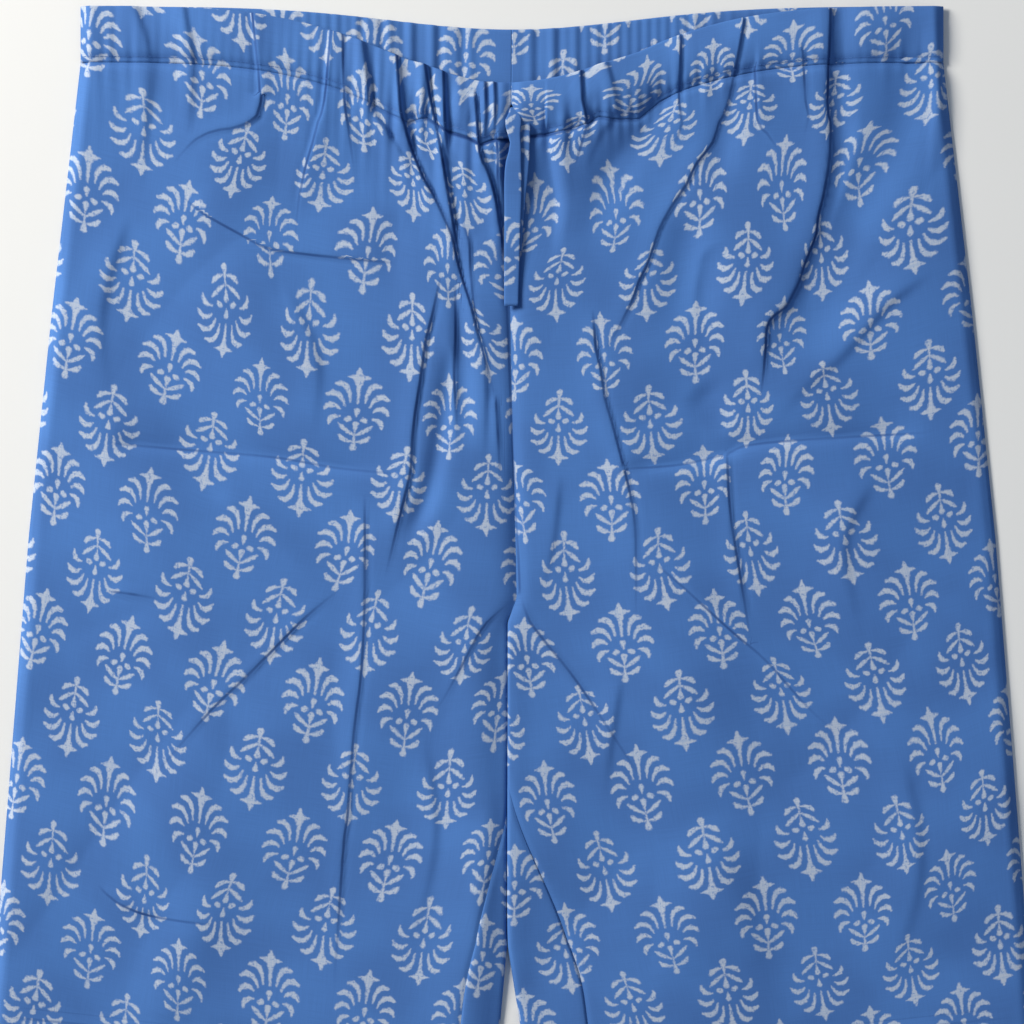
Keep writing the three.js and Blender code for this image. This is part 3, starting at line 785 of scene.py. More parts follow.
@dataclass
class Layout:
    """The garment's outline and the height of its front, which all of its pieces share.

    A pair is where a step starts and ends. The waist dips at the middle, in front and at the
    back, and below the crotch the cloth curls round the inner edges. The front lies at lay and
    loft, higher at the waist, lower along its seam and in the bed under the ties, and never
    much under least_height.
    """

    front_dip: float = 50.0
    back_dip: float = 15.0
    dip_spread: float = 110.0
    casing_depth: float = 35.0
    crotch_down: float = 384.0
    curl_length: float = 36.0
    curl_radius: dict[Half, float] = field(default_factory=lambda: {Half.RIGHT: 3.2, Half.LEFT: 1.6})
    inseam_least: float = 1.0
    inseam_starts: float = 480.0
    inseam_settles: float = 650.0
    inseam_width: dict[Half, float] = field(default_factory=lambda: {Half.RIGHT: 26.0, Half.LEFT: 42.0})
    straight_below: float = 370.0
    lay: float = 2.1
    floor_lay: float = 0.3
    waist_lift: float = 2.4
    lift_fade: float = 45.0
    loft: float = 1.9
    edge_roll: float = 7.0
    edge_over: float = 0.5
    edge_height: float = 0.85
    seam_dip: float = 1.9
    seam_dip_width: float = 3.4
    gathering: Gathers = Gathers()
    least_height: float = 1.0
    least_soft: float = 0.8
    tie_bed: float = 7.0
    tie_bed_at: float = 0.5
    tie_bed_from: tuple[float, float] = (88.0, 96.0)
    tie_bed_until: tuple[float, float] = (190.0, 206.0)
    bed_calm: float = 0.85
    pulled_width: float = 26.0
    centre_drift: tuple[tuple[float, float], ...] = (
        (0, 0), (190, -1.3), (290, 0.7), (360, 2.6), (384, 3.0), (400, -3), (450, -3), (600, -3.4),
        (700, 0), (1031, 0),
    )
    seam_wobble: tuple[tuple[float, float], ...] = (
        (-110, 0), (-90, 2), (-68, 5), (-55, -3), (-42, 1), (-28, 2), (-20, 5), (-12, 1),
        (-5, 0), (12, -2),
        (34, -1), (48, -1), (56, -3), (68, 3), (82, 8), (96, 2), (110, 0),
    )
    # Painted shade under the casing's seam: how dark it is across x, then how far below the seam it
    # lies and how it is scaled.
    seam_shade: tuple[tuple[float, float], ...] = (
        (-280, 0.1), (-90, 0.15), (-62, 0.35), (-44, 0.9), (-30, 1.0), (-14, 1.0), (-4, 0.8),
        (4, 0.5), (11, 0.95), (22, 0.95), (36, 0.45), (52, 0.25), (64, 0.5), (84, 0.4),
        (110, 0.2), (280, 0.1),
    )
    seam_shade_drop: float = 1.4
    seam_shade_scale: float = 0.6
    folds: FoldField = field(default_factory=lambda: FoldField(ALL_FOLDS))
    easing: dict[Half, PrintEasing] = field(default_factory=dict)

    def dip(self, x: np.ndarray) -> np.ndarray:
        """How much of the waist's dip a place across has."""
        return bump(x, self.dip_spread)

    def seam_down(self, x: np.ndarray) -> np.ndarray:
        """The distance down of the seam between the front casing and the panels."""
        return self.casing_depth + self.front_dip * self.dip(x)

    def drift(self, x: np.ndarray, down: np.ndarray) -> np.ndarray:
        """How far the cloth near the centre lies out of line, to be added to x."""
        at, by = zip(*self.centre_drift)
        return np.interp(down, at, by) * bump(x, self.pulled_width)

    def wobble(self, x: np.ndarray, down: np.ndarray) -> np.ndarray:
        """How far the gathered seam is pulled out of its line, to be added to down."""
        at, by = zip(*self.seam_wobble)
        return np.interp(x, at, by) * bump(down - self.seam_down(x), self.pulled_width)

    def gathers(self, x: np.ndarray, down: np.ndarray) -> np.ndarray:
        """The height of the fine gathers at some places."""
        return self.gathering.at(x, down - self.seam_down(x))

    def ripple(self, x: np.ndarray, down: np.ndarray) -> np.ndarray:
        """The soft unevenness of cloth that has been worn and laid down again."""
        swells = sum(
            swell.height * swell.first.at(x, down) * swell.second.at(x, down) for swell in SWELLS
        )
        return swells + RUMPLE_HEIGHT * np.abs(sum(wave.at(x, down) for wave in RUMPLE))

    def front(self, x: np.ndarray, down: np.ndarray) -> FoldReading:
        """The height of the middle of the front's cloth, away from its edges.

        Args:
            x: The places' x.
            down: Their distances down.

        Returns:
            The folds' reading, with heights above the surface that the garment lies on.
        """
        seam = self.seam_down(x)
        lift = self.waist_lift * (1.0 - smooth(down - seam, 0.0, self.lift_fade))
        reading = self.folds.read(x, down)
        bed_along = smooth(down, *self.tie_bed_from) * (1.0 - smooth(down, *self.tie_bed_until))
        bed = bump(x - self.tie_bed_at, self.tie_bed) * bed_along
        folded = reading.height * (1.0 - self.bed_calm * bed)
        # The shade under the casing's seam is painted: it goes into the last crease map.
        shade_at, shade_by = zip(*self.seam_shade)
        below_seam = np.broadcast_to(down - seam, reading.height.shape)
        close = 1.0 - smooth(np.abs(below_seam), CREASE_FROM, CREASE_TO)
        depth = np.interp(x, shade_at, shade_by) * close
        reading.creases[-1][..., 0] = (below_seam - self.seam_shade_drop) * self.seam_shade_scale
        reading.creases[-1][..., 1] = depth
        stitched = -self.seam_dip * bump(down - seam, self.seam_dip_width)
        height = self.lay + self.loft + lift + folded + self.gathers(x, down) + self.ripple(x, down)
        above = height + stitched - self.least_height
        reading.height = self.least_height + 0.5 * (above + np.sqrt(above**2 + self.least_soft**2))
        return reading


@dataclass(frozen=True)
class Rows:
    """The rows of a panel, each measure a column with one value to a row."""

    inner_down: np.ndarray
    inner: np.ndarray
    outer: np.ndarray
    outer_down: np.ndarray
    straight: np.ndarray
    curled: np.ndarray
    curl_end: np.ndarray
    curl_arc: float
    front_start: np.ndarray
    back_end: np.ndarray


@dataclass
class ClothSheet:
    """A sheet of cloth as a grid of points, with the print's coordinates at each."""

    name: str
    points: np.ndarray
    cells: np.ndarray
    facing: float
    creases: tuple[np.ndarray, ...] = ()

    def area(self) -> float:
        """The area of one face of the sheet, in square metres."""
        across = np.diff(self.points, axis=1)[:-1]
        along = np.diff(self.points, axis=0)[:, :-1]
        return float(np.linalg.norm(np.cross(across, along), axis=2).sum())

    def build(self, materials: list[bpy.types.Material], thickness: float) -> bpy.types.Object:
        """Makes the sheet's mesh, with its thickness.

        Args:
            materials: The right side's material, and the wrong side's.
            thickness: The cloth's thickness, in millimetres.

        Returns:
            The finished object.
        """
        rows, columns = self.points.shape[:2]
        corner = np.arange(rows * columns).reshape(rows, columns)
        quads = np.stack([corner[:-1, :-1], corner[:-1, 1:], corner[1:, 1:], corner[1:, :-1]], axis=-1)
        quads = quads.reshape(-1, 4)
        if self.facing < 0:
            quads = quads[:, ::-1]
        mesh = bpy.data.meshes.new(self.name)
        mesh.from_pydata(self.points.reshape(-1, 3).tolist(), [], quads.tolist())
        for label, chart in zip((PRINT_MAP, *CREASE_MAPS), (self.cells, *self.creases)):
            layer = mesh.uv_layers.new(name=label)
            corners = chart.reshape(-1, 2)[quads.reshape(-1)]
            layer.data.foreach_set("uv", corners.astype(np.float32).ravel())
        mesh.polygons.foreach_set("use_smooth", np.ones(len(quads), dtype=bool))
        mesh.update()
        piece = bpy.data.objects.new(self.name, mesh)
        bpy.context.scene.collection.objects.link(piece)
        for material in materials:
            piece.data.materials.append(material)
        shell = piece.modifiers.new("thickness", "SOLIDIFY")
        shell.thickness = thickness * MM
        shell.offset = 0.0
        shell.material_offset = 1
        shell.use_even_offset = False
        apply_modifiers(piece)
        return piece


def apply_modifiers(piece: bpy.types.Object) -> None:
    """Turns the evaluated piece into its own plain mesh, and removes its modifiers."""
    depsgraph = bpy.context.evaluated_depsgraph_get()
    mesh = bpy.data.meshes.new_from_object(piece.evaluated_get(depsgraph))
    piece.modifiers.clear()
    piece.data = mesh


def to_metres(x: np.ndarray, down: np.ndarray, z: np.ndarray) -> np.ndarray:
    """Places on the garment as points in the frame."""
    return np.stack([x, LENGTH / 2.0 - down, z], axis=-1) * MM


@dataclass
class Panels:
    """The four leg panels: two fronts over two backs that come round the inner edges.

    A band of rows is where it ends and its step. The front falls into a valley at the centre
    seam, and beside the inseam it has a slope and a crown, of its own shape on each half.
    Heights, depths and widths are in millimetres.
    """

    layout: Layout
    cloth: float = 0.5
    front_bands: tuple[tuple[float, float], ...] = ((250, 1.8), (430, 2.6), (640, 3.2), (LENGTH, 6.6))
    back_bands: tuple[tuple[float, float], ...] = ((370, 9.0), (LENGTH, 6.0))
    front_columns: int = 156
    curl_columns: int = 8
    floor_columns: int = 42
    wrap_columns: int = 20
    hem_depth: float = 20.0
    hem_rise: float = 0.5
    hem_ramp: tuple[float, float] = (-1.0, 0.5)
    valley_width: float = 5.0
    valley_power: float = 1.3
    valley_drop: float = 0.9
    slope_width: float = 13.0
    slope_depth: float = 1.9
    crown_at: float = 24.0
    crown_width: float = 22.0
    crown_height: float = 2.4
    left_crown_at: float = 5.0
    left_crown_width: float = 7.0
    left_crown_height: float = 0.7
    inseam_dip: float = 0.6
    inseam_dip_width: float = 1.6
    inseam_gap: float = 0.1
    edge_gap: float = 0.05
    turn_gap: float = 0.3
    curl_extra: float = 0.3
    least_wrap: float = 0.02
    column_shares: tuple[float, float] = (0.72, 0.28)

    @staticmethod
    def stations(start: float, bands: tuple[tuple[float, float], ...]) -> np.ndarray:
        """The rows' distances down, in bands that each end at a distance and have their own step."""
        parts = []
        for until, step in bands:
            count = max(1, round((until - start) / step))
            parts.append(np.linspace(start, until, count, endpoint=False))
            start = until
        return np.concatenate([*parts, [start]])

    def rows(self, half: Half, inner_down: np.ndarray, back: bool) -> Rows:
        """Works out the rows of a half from the outline.

        Args:
            half: The half of the garment.
            inner_down: The rows' distances down at the inner edge.
            back: Whether they are on the back panel.

        Returns:
            The rows' measures.
        """
        lay = self.layout
        inner_down = inner_down[:, None]
        downs = [row.inner_down for row in OUTLINE]
        if back:
            downs[0] = BACK_WAIST_DOWN
        inner, outer, outer_down = (
            np.interp(inner_down, downs, [getattr(row, name) for row in OUTLINE])
            for name in ("inner", "outer", "outer_down")
        )
        straight = smooth(inner_down, downs[0], lay.straight_below)
        curled = smooth(inner_down, lay.crotch_down, lay.crotch_down + lay.curl_length)
        radius = lay.curl_radius[half]
        arc = math.pi * radius
        climbed = smooth(inner_down, lay.inseam_starts, lay.inseam_settles)
        inseam = blend(lay.inseam_least, arc + lay.inseam_width[half] - radius, climbed)
        front_start = blend(arc, inseam + self.inseam_gap, curled)
        turn = np.sin(math.pi * np.maximum(blend(arc, lay.inseam_least, curled) / arc, 0.5))
        edge = inner + self.edge_gap + self.turn_gap * turn - radius * (1.0 - turn)
        return Rows(
            inner_down, inner, outer, outer_down, straight, curled, edge + radius, arc, front_start,
            inseam * curled,
        )

    def down_at(self, rows: Rows, x: np.ndarray) -> np.ndarray:
        """The distance down of the rows' places across."""
        slant = 1.0 - (x - rows.inner) / (rows.outer - rows.inner)
        share = blend(self.layout.dip(x), slant, rows.straight)
        return rows.outer_down + (rows.inner_down - rows.outer_down) * share

    def dress(self, name: str, half: Half, rows: Rows, s: np.ndarray, back: bool) -> ClothSheet:
        """Lays the rows' cloth along its path: on the floor, round the curl and over the top.

        Args:
            name: The sheet's name.
            half: The half of the garment.
            rows: The rows.
            s: Distances along each row's path from the start of its curl.
            back: Whether it is the back panel.

        Returns:
            The sheet.
        """
        lay = self.layout
        radius = rows.curl_arc / math.pi
        angle = np.clip(s / rows.curl_arc, 0.0, 1.0) * math.pi
        beyond = np.maximum(s - rows.curl_arc, 0.0) - np.minimum(s, 0.0)
        x = rows.curl_end - radius * np.sin(angle) + beyond
        over = np.maximum(x, rows.curl_end)
        down = self.down_at(rows, over)
        reading = lay.front(half.sign * over, down)
        top = reading.height
        climb = np.exp(-((np.maximum(x - rows.inner, 0.0) / self.valley_width) ** self.valley_power))
        valley = blend(1.0 - climb, 1.0, rows.curled)
        settled = lay.lay - self.valley_drop
        top = settled + (top - settled) * valley
        inward = x - rows.inner
        if half is Half.RIGHT:
            crown = self.crown_height * bump(inward - self.crown_at, self.crown_width)
            top = top + rows.curled * (crown - self.slope_depth * bump(inward, self.slope_width))
        else:
            crown = bump(inward - self.left_crown_at, self.left_crown_width)
            top = top + rows.curled * self.left_crown_height * crown
        sewn = bump(s - rows.front_start, self.inseam_dip_width)
        top = top - self.inseam_dip * rows.curled * sewn
        top = blend(lay.edge_height, top, smooth(rows.outer - x, -lay.edge_over, lay.edge_roll))
        below_hem = rows.inner_down - (LENGTH - self.hem_depth)
        top = top + self.hem_rise * smooth(below_hem, *self.hem_ramp)
        turned = lay.floor_lay + 0.5 * (top - lay.floor_lay) * (1.0 - np.cos(angle))
        z = np.where(s >= rows.curl_arc, top, np.where(s <= 0.0, lay.floor_lay, turned))
        signed = half.sign * x
        if back:
            across = half.sign * s
        else:
            steps = np.hypot(np.diff(x, axis=1), np.diff(z, axis=1))
            run = np.cumsum(steps[:, ::-1], axis=1)[:, ::-1]
            across = half.sign * (rows.outer - np.hstack([run, np.zeros((len(run), 1))]))
        print_layout = (BACK_PRINT if back else FRONT_PRINT)[half]
        taken = (across + reading.shift_x, signed, down + reading.shift_down)
        cells = np.stack(print_layout.cells(*taken), axis=-1)
        wobbled = down + lay.wobble(signed, down)
        drifted = signed + lay.drift(signed, wobbled)
        if back:
            return ClothSheet(name, to_metres(drifted, wobbled, z), cells, -half.sign)
        if half not in lay.easing:
            lay.easing[half] = PrintEasing(half, drifted.ravel(), wobbled.ravel(), cells)
        cells = lay.easing[half].eased(drifted, wobbled, cells)
        return ClothSheet(name, to_metres(drifted, wobbled, z), cells, -half.sign, reading.creases)

    def front(self, half: Half) -> ClothSheet:
        """The front panel of one half."""
        rows = self.rows(half, self.stations(OUTLINE[0].inner_down, self.front_bands), back=False)
        end = rows.curl_arc + rows.outer - rows.curl_end
        left_over = np.maximum(rows.curl_arc - rows.front_start, 0.0) + self.curl_extra
        curl_run = np.minimum(left_over, rows.curl_arc)
        curl_share = np.linspace(0.0, 1.0, self.curl_columns + 1)[:-1]
        share = np.linspace(0.0, 1.0, self.front_columns + 1)
        even, crowding = self.column_shares
        crowded = even * share + crowding * share**2
        start = rows.front_start + curl_run
        s = np.hstack([rows.front_start + curl_run * curl_share, start + (end - start) * crowded])
        return self.dress(f"printed_front_{half.value}", half, rows, s, back=False)

    def back(self, half: Half) -> ClothSheet:
        """The back panel of one half, with the part that comes round to the inseam."""
        rows = self.rows(half, self.stations(BACK_WAIST_DOWN, self.back_bands), back=True)
        floor = (rows.curl_end - rows.outer) * np.linspace(1.0, 0.0, self.floor_columns + 1)
        wrapped = np.maximum(rows.back_end, self.least_wrap)
        wrap = wrapped * np.linspace(0.0, 1.0, self.wrap_columns + 1)[1:]
        return self.dress(f"printed_back_{half.value}", half, rows, np.hstack([floor, wrap]), back=True)


@dataclass
class Casing:
    """The drawstring casing: cloth turned over at the top, stitched down and gathered.

    Its two plies stand open between the top and the seam, and close at the lip below it. In
    front it is calmer at the middle, where a slit for the ties starts at a share of its depth.
    """

    layout: Layout
    cloth: float = 0.5
    columns: int = 260
    depth_rows: int = 20
    turn_rows: int = 7
    ply_gap: float = 0.95
    puff: float = 1.6
    back_height: float = 1.35
    back_offset: float = 7.0
    slit_from: float = 0.42
    slit_half_width: float = 1.0
    lip: float = 1.2
    lip_depth: float = 3.0
    lip_open: float = 0.3
    full_open: float = 0.7
    middle_calm: float = 0.5
    middle_width: float = 4.0
    calm_rise: float = 0.6
    slit_fade: float = 2.0
    edge_rise: float = 1.6
    even_share: float = 0.66
    back_print_drop: float = 31.0

    def path(self) -> tuple[np.ndarray, np.ndarray]:
        """The way over the casing: distances below its top edge, and how far each place is turned."""
        down_in = np.linspace(self.layout.casing_depth + self.lip, self.ply_gap, self.depth_rows)
        turns = np.linspace(0.0, math.pi, self.turn_rows + 2)[1:-1]
        over = self.ply_gap * (1.0 - np.sin(turns))
        flat = np.zeros(self.depth_rows)
        return (
            np.concatenate([down_in, over, down_in[::-1]])[:, None],
            np.concatenate([flat, turns, flat + math.pi])[:, None],
        )

    def sheet(self, half: Half, back: bool) -> ClothSheet:
        """The casing of one half, from its seam up over the fold and down inside.

        Args:
            half: The half of the garment.
            back: Whether it is the back's casing.

        Returns:
            The sheet.
        """
        lay = self.layout
        outer = OUTLINE[0].outer
        share = np.linspace(0.0, 1.0, self.columns + 1)[None, :]
        x = outer * (self.even_share * share + (1.0 - self.even_share) * share**2)
        down_in, turn = self.path()
        down = (lay.back_dip if back else lay.front_dip) * lay.dip(x) + down_in
        signed = half.sign * x
        along = np.clip(down_in / lay.casing_depth, 0.0, 1.0)
        full = np.sin(math.pi * along)
        if back:
            gathered = lay.gathers(signed + self.back_offset, lay.seam_down(signed))
            z = self.back_height + 0.5 * (1.0 + gathered) + self.ply_gap * np.cos(turn)
            spread = np.zeros_like(x)
            shift_x = shift_down = 0.0
            creases = ()
        else:
            reading = lay.front(signed, down)
            surface, shift_x, shift_down = reading.height, reading.shift_x, reading.shift_down
            creases = reading.creases
            centre = 1.0 - self.middle_calm * bump(x, self.middle_width)
            calm = lay.lay + lay.waist_lift + self.calm_rise
            lipped = smooth(down_in, lay.casing_depth - self.lip_depth, lay.casing_depth)
            z = calm + (surface - calm) * centre + self.puff * full * centre
            opened = 0.5 * self.ply_gap + self.full_open * full
            z = z + np.cos(turn) * blend(opened, self.lip_open, lipped)
            slit = np.where(along > self.slit_from, self.slit_half_width, 0.0)
            spread = slit * np.exp(-x / self.slit_fade)
        z = blend(lay.edge_height + self.edge_rise, z, smooth(outer - x, -lay.edge_over, lay.edge_roll))
        signed = half.sign * (x + spread)
        steps = np.hypot(np.diff(x + spread, axis=1), np.diff(z, axis=1))
        run = np.cumsum(steps[:, ::-1], axis=1)[:, ::-1]
        across = half.sign * (outer - np.hstack([run, np.zeros((len(run), 1))]))
        inside = np.where(turn > math.pi / 2.0, 2.0 * lay.casing_depth, 0.0)
        print_down = down - inside + (self.back_print_drop if back else 0.0)
        taken = (across + shift_x, signed, print_down + shift_down)
        cells = np.stack(FRONT_PRINT[half].cells(*taken), axis=-1)
        wobbled = down if back else down + lay.wobble(signed, down)
        drifted = signed + lay.drift(signed, wobbled)
        if not back:
            cells = lay.easing[half].eased(drifted, wobbled, cells)
        points = to_metres(drifted, wobbled, np.maximum(z, lay.floor_lay))
        name = "back" if back else "front"
        return ClothSheet(f"casing_{name}_{half.value}", points, cells, half.sign, creases)


@dataclass(frozen=True)
class TieRoute:
    """One free end of the drawstring, as it leaves the slit and lies down the centre front.

    Each place is x, down, the height of the middle of the tie and half its width there.
    print_at is where an upright sprig's centre lies, in x and down.
    """

    name: str
    node: str
    places: tuple[tuple[float, float, float, float], ...]
    print_at: tuple[float, float]


FRONT_TIE = TieRoute(
    "front_tie",
    "drawstring_front_tie",
    (
        (1.6, 66, 8.0, 2.6), (1.4, 70, 9.4, 3.7), (0.9, 74, 10.5, 5.2), (0.8, 79, 10.6, 5.0),
        (1.4, 84, 10.2, 4.0), (2.2, 89, 9.8, 3.5), (1.9, 95, 9.4, 4.1), (1.0, 101, 9.0, 4.9),
        (0.7, 107, 8.6, 5.4), (0.6, 115, 8.1, 5.6), (0.6, 123, 7.7, 5.6), (0.5, 132, 7.4, 5.4),
        (0.3, 141, 7.1, 5.2), (0.1, 150, 6.9, 5.1), (0.0, 159, 6.6, 5.0), (-0.1, 168, 6.0, 5.0),
        (-0.2, 177, 5.4, 4.8), (-0.4, 186, 5.0, 4.7), (-0.5, 194.5, 4.9, 4.6),
    ),
    (-7.5, 160.0),
)
REAR_TIE = TieRoute(
    "rear_tie",
    "drawstring_rear_tie",
    (
        (6.8, 66, 7.2, 4.6), (7.0, 72, 7.8, 4.6), (7.2, 78, 8.0, 4.6), (7.2, 84, 7.8, 4.5),
        (7.1, 91, 7.5, 4.5), (6.8, 99, 7.1, 4.5), (6.2, 107, 6.7, 4.5), (5.4, 115, 6.3, 4.5),
        (4.5, 123, 5.9, 4.5), (3.6, 132, 5.5, 4.5), (2.8, 141, 5.2, 4.5), (2.2, 150, 5.0, 4.4),
        (1.8, 159, 4.9, 4.4),
    ),
    (-5.0, 90.0),
)


@dataclass
class Drawstring:
    """The two flat ties: strips of the same cloth, folded and sewn shut along the middle."""

    layout: Layout
    width: float = 10.0
    half_thick: float = 0.75
    side_steps: int = 40
    rings_per_step: int = 4
    groove: float = 0.2
    groove_at: float = -1.2
    groove_width: float = 0.6
    side_power: float = 0.28
    top_power: float = 0.8
    pinch_power: float = 0.7
    ease: float = 0.25
    felt_at: tuple[float, ...] = (-0.9, -0.4, 0.4, 0.9)
    lifted_from: tuple[float, float] = (84.0, 100.0)
    evened_over: int = 13

    def ring(self, half_width: float) -> np.ndarray:
        """The section: a flat strip with full sides and a shallow groove where it is sewn."""
        turn = np.linspace(0.0, 2.0 * math.pi, self.side_steps, endpoint=False)
        across = half_width * np.sign(np.cos(turn)) * np.abs(np.cos(turn)) ** self.side_power
        up = self.half_thick * np.sign(np.sin(turn)) * np.abs(np.sin(turn)) ** self.top_power
        pinched = self.half_thick * (self.width / 2.0 / half_width) ** self.pinch_power
        groove = self.groove * bump(across - self.groove_at, self.groove_width) * (up > 0.0)
        up = up / self.half_thick * pinched - groove
        return np.stack([across, up], axis=-1)

    def centreline(self, route: TieRoute) -> np.ndarray:
        """The route as a smooth run of close places, lifted clear of the folds under it."""
        places = np.array(route.places, float)
        at = np.arange(len(places))
        fine = np.linspace(0, len(places) - 1, self.rings_per_step * (len(places) - 1) + 1)
        line = np.stack([np.interp(fine, at, places[:, i]) for i in range(4)], axis=-1)
        rear = np.array(REAR_TIE.places, float)
        under = np.interp(line[:, 1], rear[:, 1], rear[:, 2])
        sides = line[:, :1] + line[:, 3:] * np.array([self.felt_at])
        felt = self.layout.front(sides, np.broadcast_to(line[:, 1:2], sides.shape))
        surface = felt.height.max(axis=1)
        below_slit = smooth(line[:, 1], *self.lifted_from)
        lift = np.maximum(surface + self.ease + self.half_thick - under, 0.0) * below_slit
        weights = np.ones(self.evened_over) / self.evened_over
        padded = np.pad(lift, self.evened_over // 2, mode="edge")
        line[:, 2] += np.convolve(padded, weights, mode="valid")
        return line

    def build(self, route: TieRoute, material: bpy.types.Material) -> bpy.types.Object:
        """Args:
            route: The tie's route.
            material: The tie's cloth.

        Returns:
            The finished object.
        """
        centres = self.centreline(route)
        rings, cells = [], []
        for x, down, z, half_width in centres:
            section = self.ring(half_width)
            drop = np.full(self.side_steps, down)
            rings.append(to_metres(x + section[:, 0], drop, z + section[:, 1]))
            across = (x + section[:, 0] - route.print_at[0]) / BLOCK_PITCH[0]
            cells.append(np.stack([across, (route.print_at[1] - drop) / BLOCK_PITCH[1]], axis=-1))
        faces = []
        count = self.side_steps
        for start in range(0, (len(rings) - 1) * count, count):
            for i in range(count):
                a, b = start + i, start + (i + 1) % count
                faces.append((a, a + count, b + count, b))
        faces.append(tuple(range(count)))
        faces.append(tuple(range((len(rings) - 1) * count, len(rings) * count))[::-1])
        mesh = bpy.data.meshes.new(route.name)
        mesh.from_pydata(np.vstack(rings).tolist(), [], faces)
        layer = mesh.uv_layers.new(name=PRINT_MAP)
        flat = np.vstack(cells)
        corners = flat[[v for face in faces for v in face]]
        layer.data.foreach_set("uv", corners.astype(np.float32).ravel())
        mesh.polygons.foreach_set("use_smooth", np.ones(len(faces), dtype=bool))
        mesh.materials.append(material)
        piece = bpy.data.objects.new(route.name, mesh)
        bpy.context.scene.collection.objects.link(piece)
        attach(piece, "root")
        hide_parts(route.node)
        return piece


@dataclass
class Stitching:
    """Rows of short stitches along the casing's seam and the hems."""

    pitch: float = 2.9
    length: float = 2.0
    radius: float = 0.19
    corners: int = 6
    proud: float = 0.28
    _tree: bpy.types.NodeTree | None = None

    def tree(self) -> bpy.types.NodeTree:
        """The node tree that sets stitches along a path."""
        group = bpy.data.node_groups.new("stitches", "GeometryNodeTree")
        for label, kind in (
            ("Path", "NodeSocketGeometry"), ("Pitch", FLOAT), ("Length", FLOAT), ("Radius", FLOAT),
            ("Thread", "NodeSocketMaterial"),
        ):
            group.interface.new_socket(label, in_out="INPUT", socket_type=kind)
        group.interface.new_socket("Stitches", in_out="OUTPUT", socket_type="NodeSocketGeometry")
        tree = Tree(group)
        given, out = tree.add("NodeGroupInput"), tree.add("NodeGroupOutput")
        curve = tree.add("GeometryNodeMeshToCurve")
        tree.feed(curve.inputs["Mesh"], given.outputs["Path"])
        spaced = tree.add("GeometryNodeResampleCurve", mode="LENGTH")
        tree.feed(spaced.inputs["Curve"], curve.outputs["Curve"])
        tree.feed(spaced.inputs["Length"], given.outputs["Pitch"])
        thread = tree.add("GeometryNodeMeshCylinder")
        thread.inputs["Vertices"].default_value = self.corners
        tree.feed(thread.inputs["Radius"], given.outputs["Radius"])
        tree.feed(thread.inputs["Depth"], given.outputs["Length"])
        tangent = tree.add("GeometryNodeInputTangent")
        along = tree.add("FunctionNodeAlignRotationToVector", axis="Z")
        tree.feed(along.inputs["Vector"], tangent.outputs["Tangent"])
        placed = tree.add("GeometryNodeInstanceOnPoints")
        tree.feed(placed.inputs["Points"], spaced.outputs["Curve"])
        tree.feed(placed.inputs["Instance"], thread.outputs["Mesh"])
        tree.feed(placed.inputs["Rotation"], along.outputs["Rotation"])
        real = tree.add("GeometryNodeRealizeInstances")
        tree.feed(real.inputs["Geometry"], placed.outputs["Instances"])
        dressed = tree.add("GeometryNodeSetMaterial")
        tree.feed(dressed.inputs["Geometry"], real.outputs["Geometry"])
        tree.feed(dressed.inputs["Material"], given.outputs["Thread"])
        tree.feed(out.inputs["Stitches"], dressed.outputs["Geometry"])
        return group

    def sew(
        self, name: str, line: np.ndarray, up: float, thread: bpy.types.Material
    ) -> bpy.types.Object:
        """Sews one row of stitches.

        Args:
            name: The row's name.
            line: The places that it runs through, in metres.
            up: The side of the cloth that it shows on: 1 for the top and -1 for the underside.
            thread: The thread's material.

        Returns:
            The finished object.
        """
        if self._tree is None:
            self._tree = self.tree()
        points = line + np.array([0.0, 0.0, up * self.proud * MM])
        mesh = bpy.data.meshes.new(name)
        mesh.from_pydata(points.tolist(), [(i, i + 1) for i in range(len(points) - 1)], [])
        piece = bpy.data.objects.new(name, mesh)
        bpy.context.scene.collection.objects.link(piece)
        rows = piece.modifiers.new("stitches", "NODES")
        rows.node_group = self._tree
        values = {
            "Pitch": self.pitch * MM, "Length": self.length * MM, "Radius": self.radius * MM,
            "Thread": thread,
        }
        for socket in self._tree.interface.items_tree:
            if socket.item_type == "SOCKET" and socket.in_out == "INPUT" and socket.name in values:
                rows[socket.identifier] = values[socket.name]
        apply_modifiers(piece)
        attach(piece, "root")
        LOG.info("%s: %d faces", name, len(piece.data.polygons))
        return piece


@dataclass(frozen=True)
class Stroke:
    """One stroke of the printing block: from a place and half width to another, in millimetres."""

    start: tuple[float, float]
    start_width: float
    end: tuple[float, float]
    end_width: float


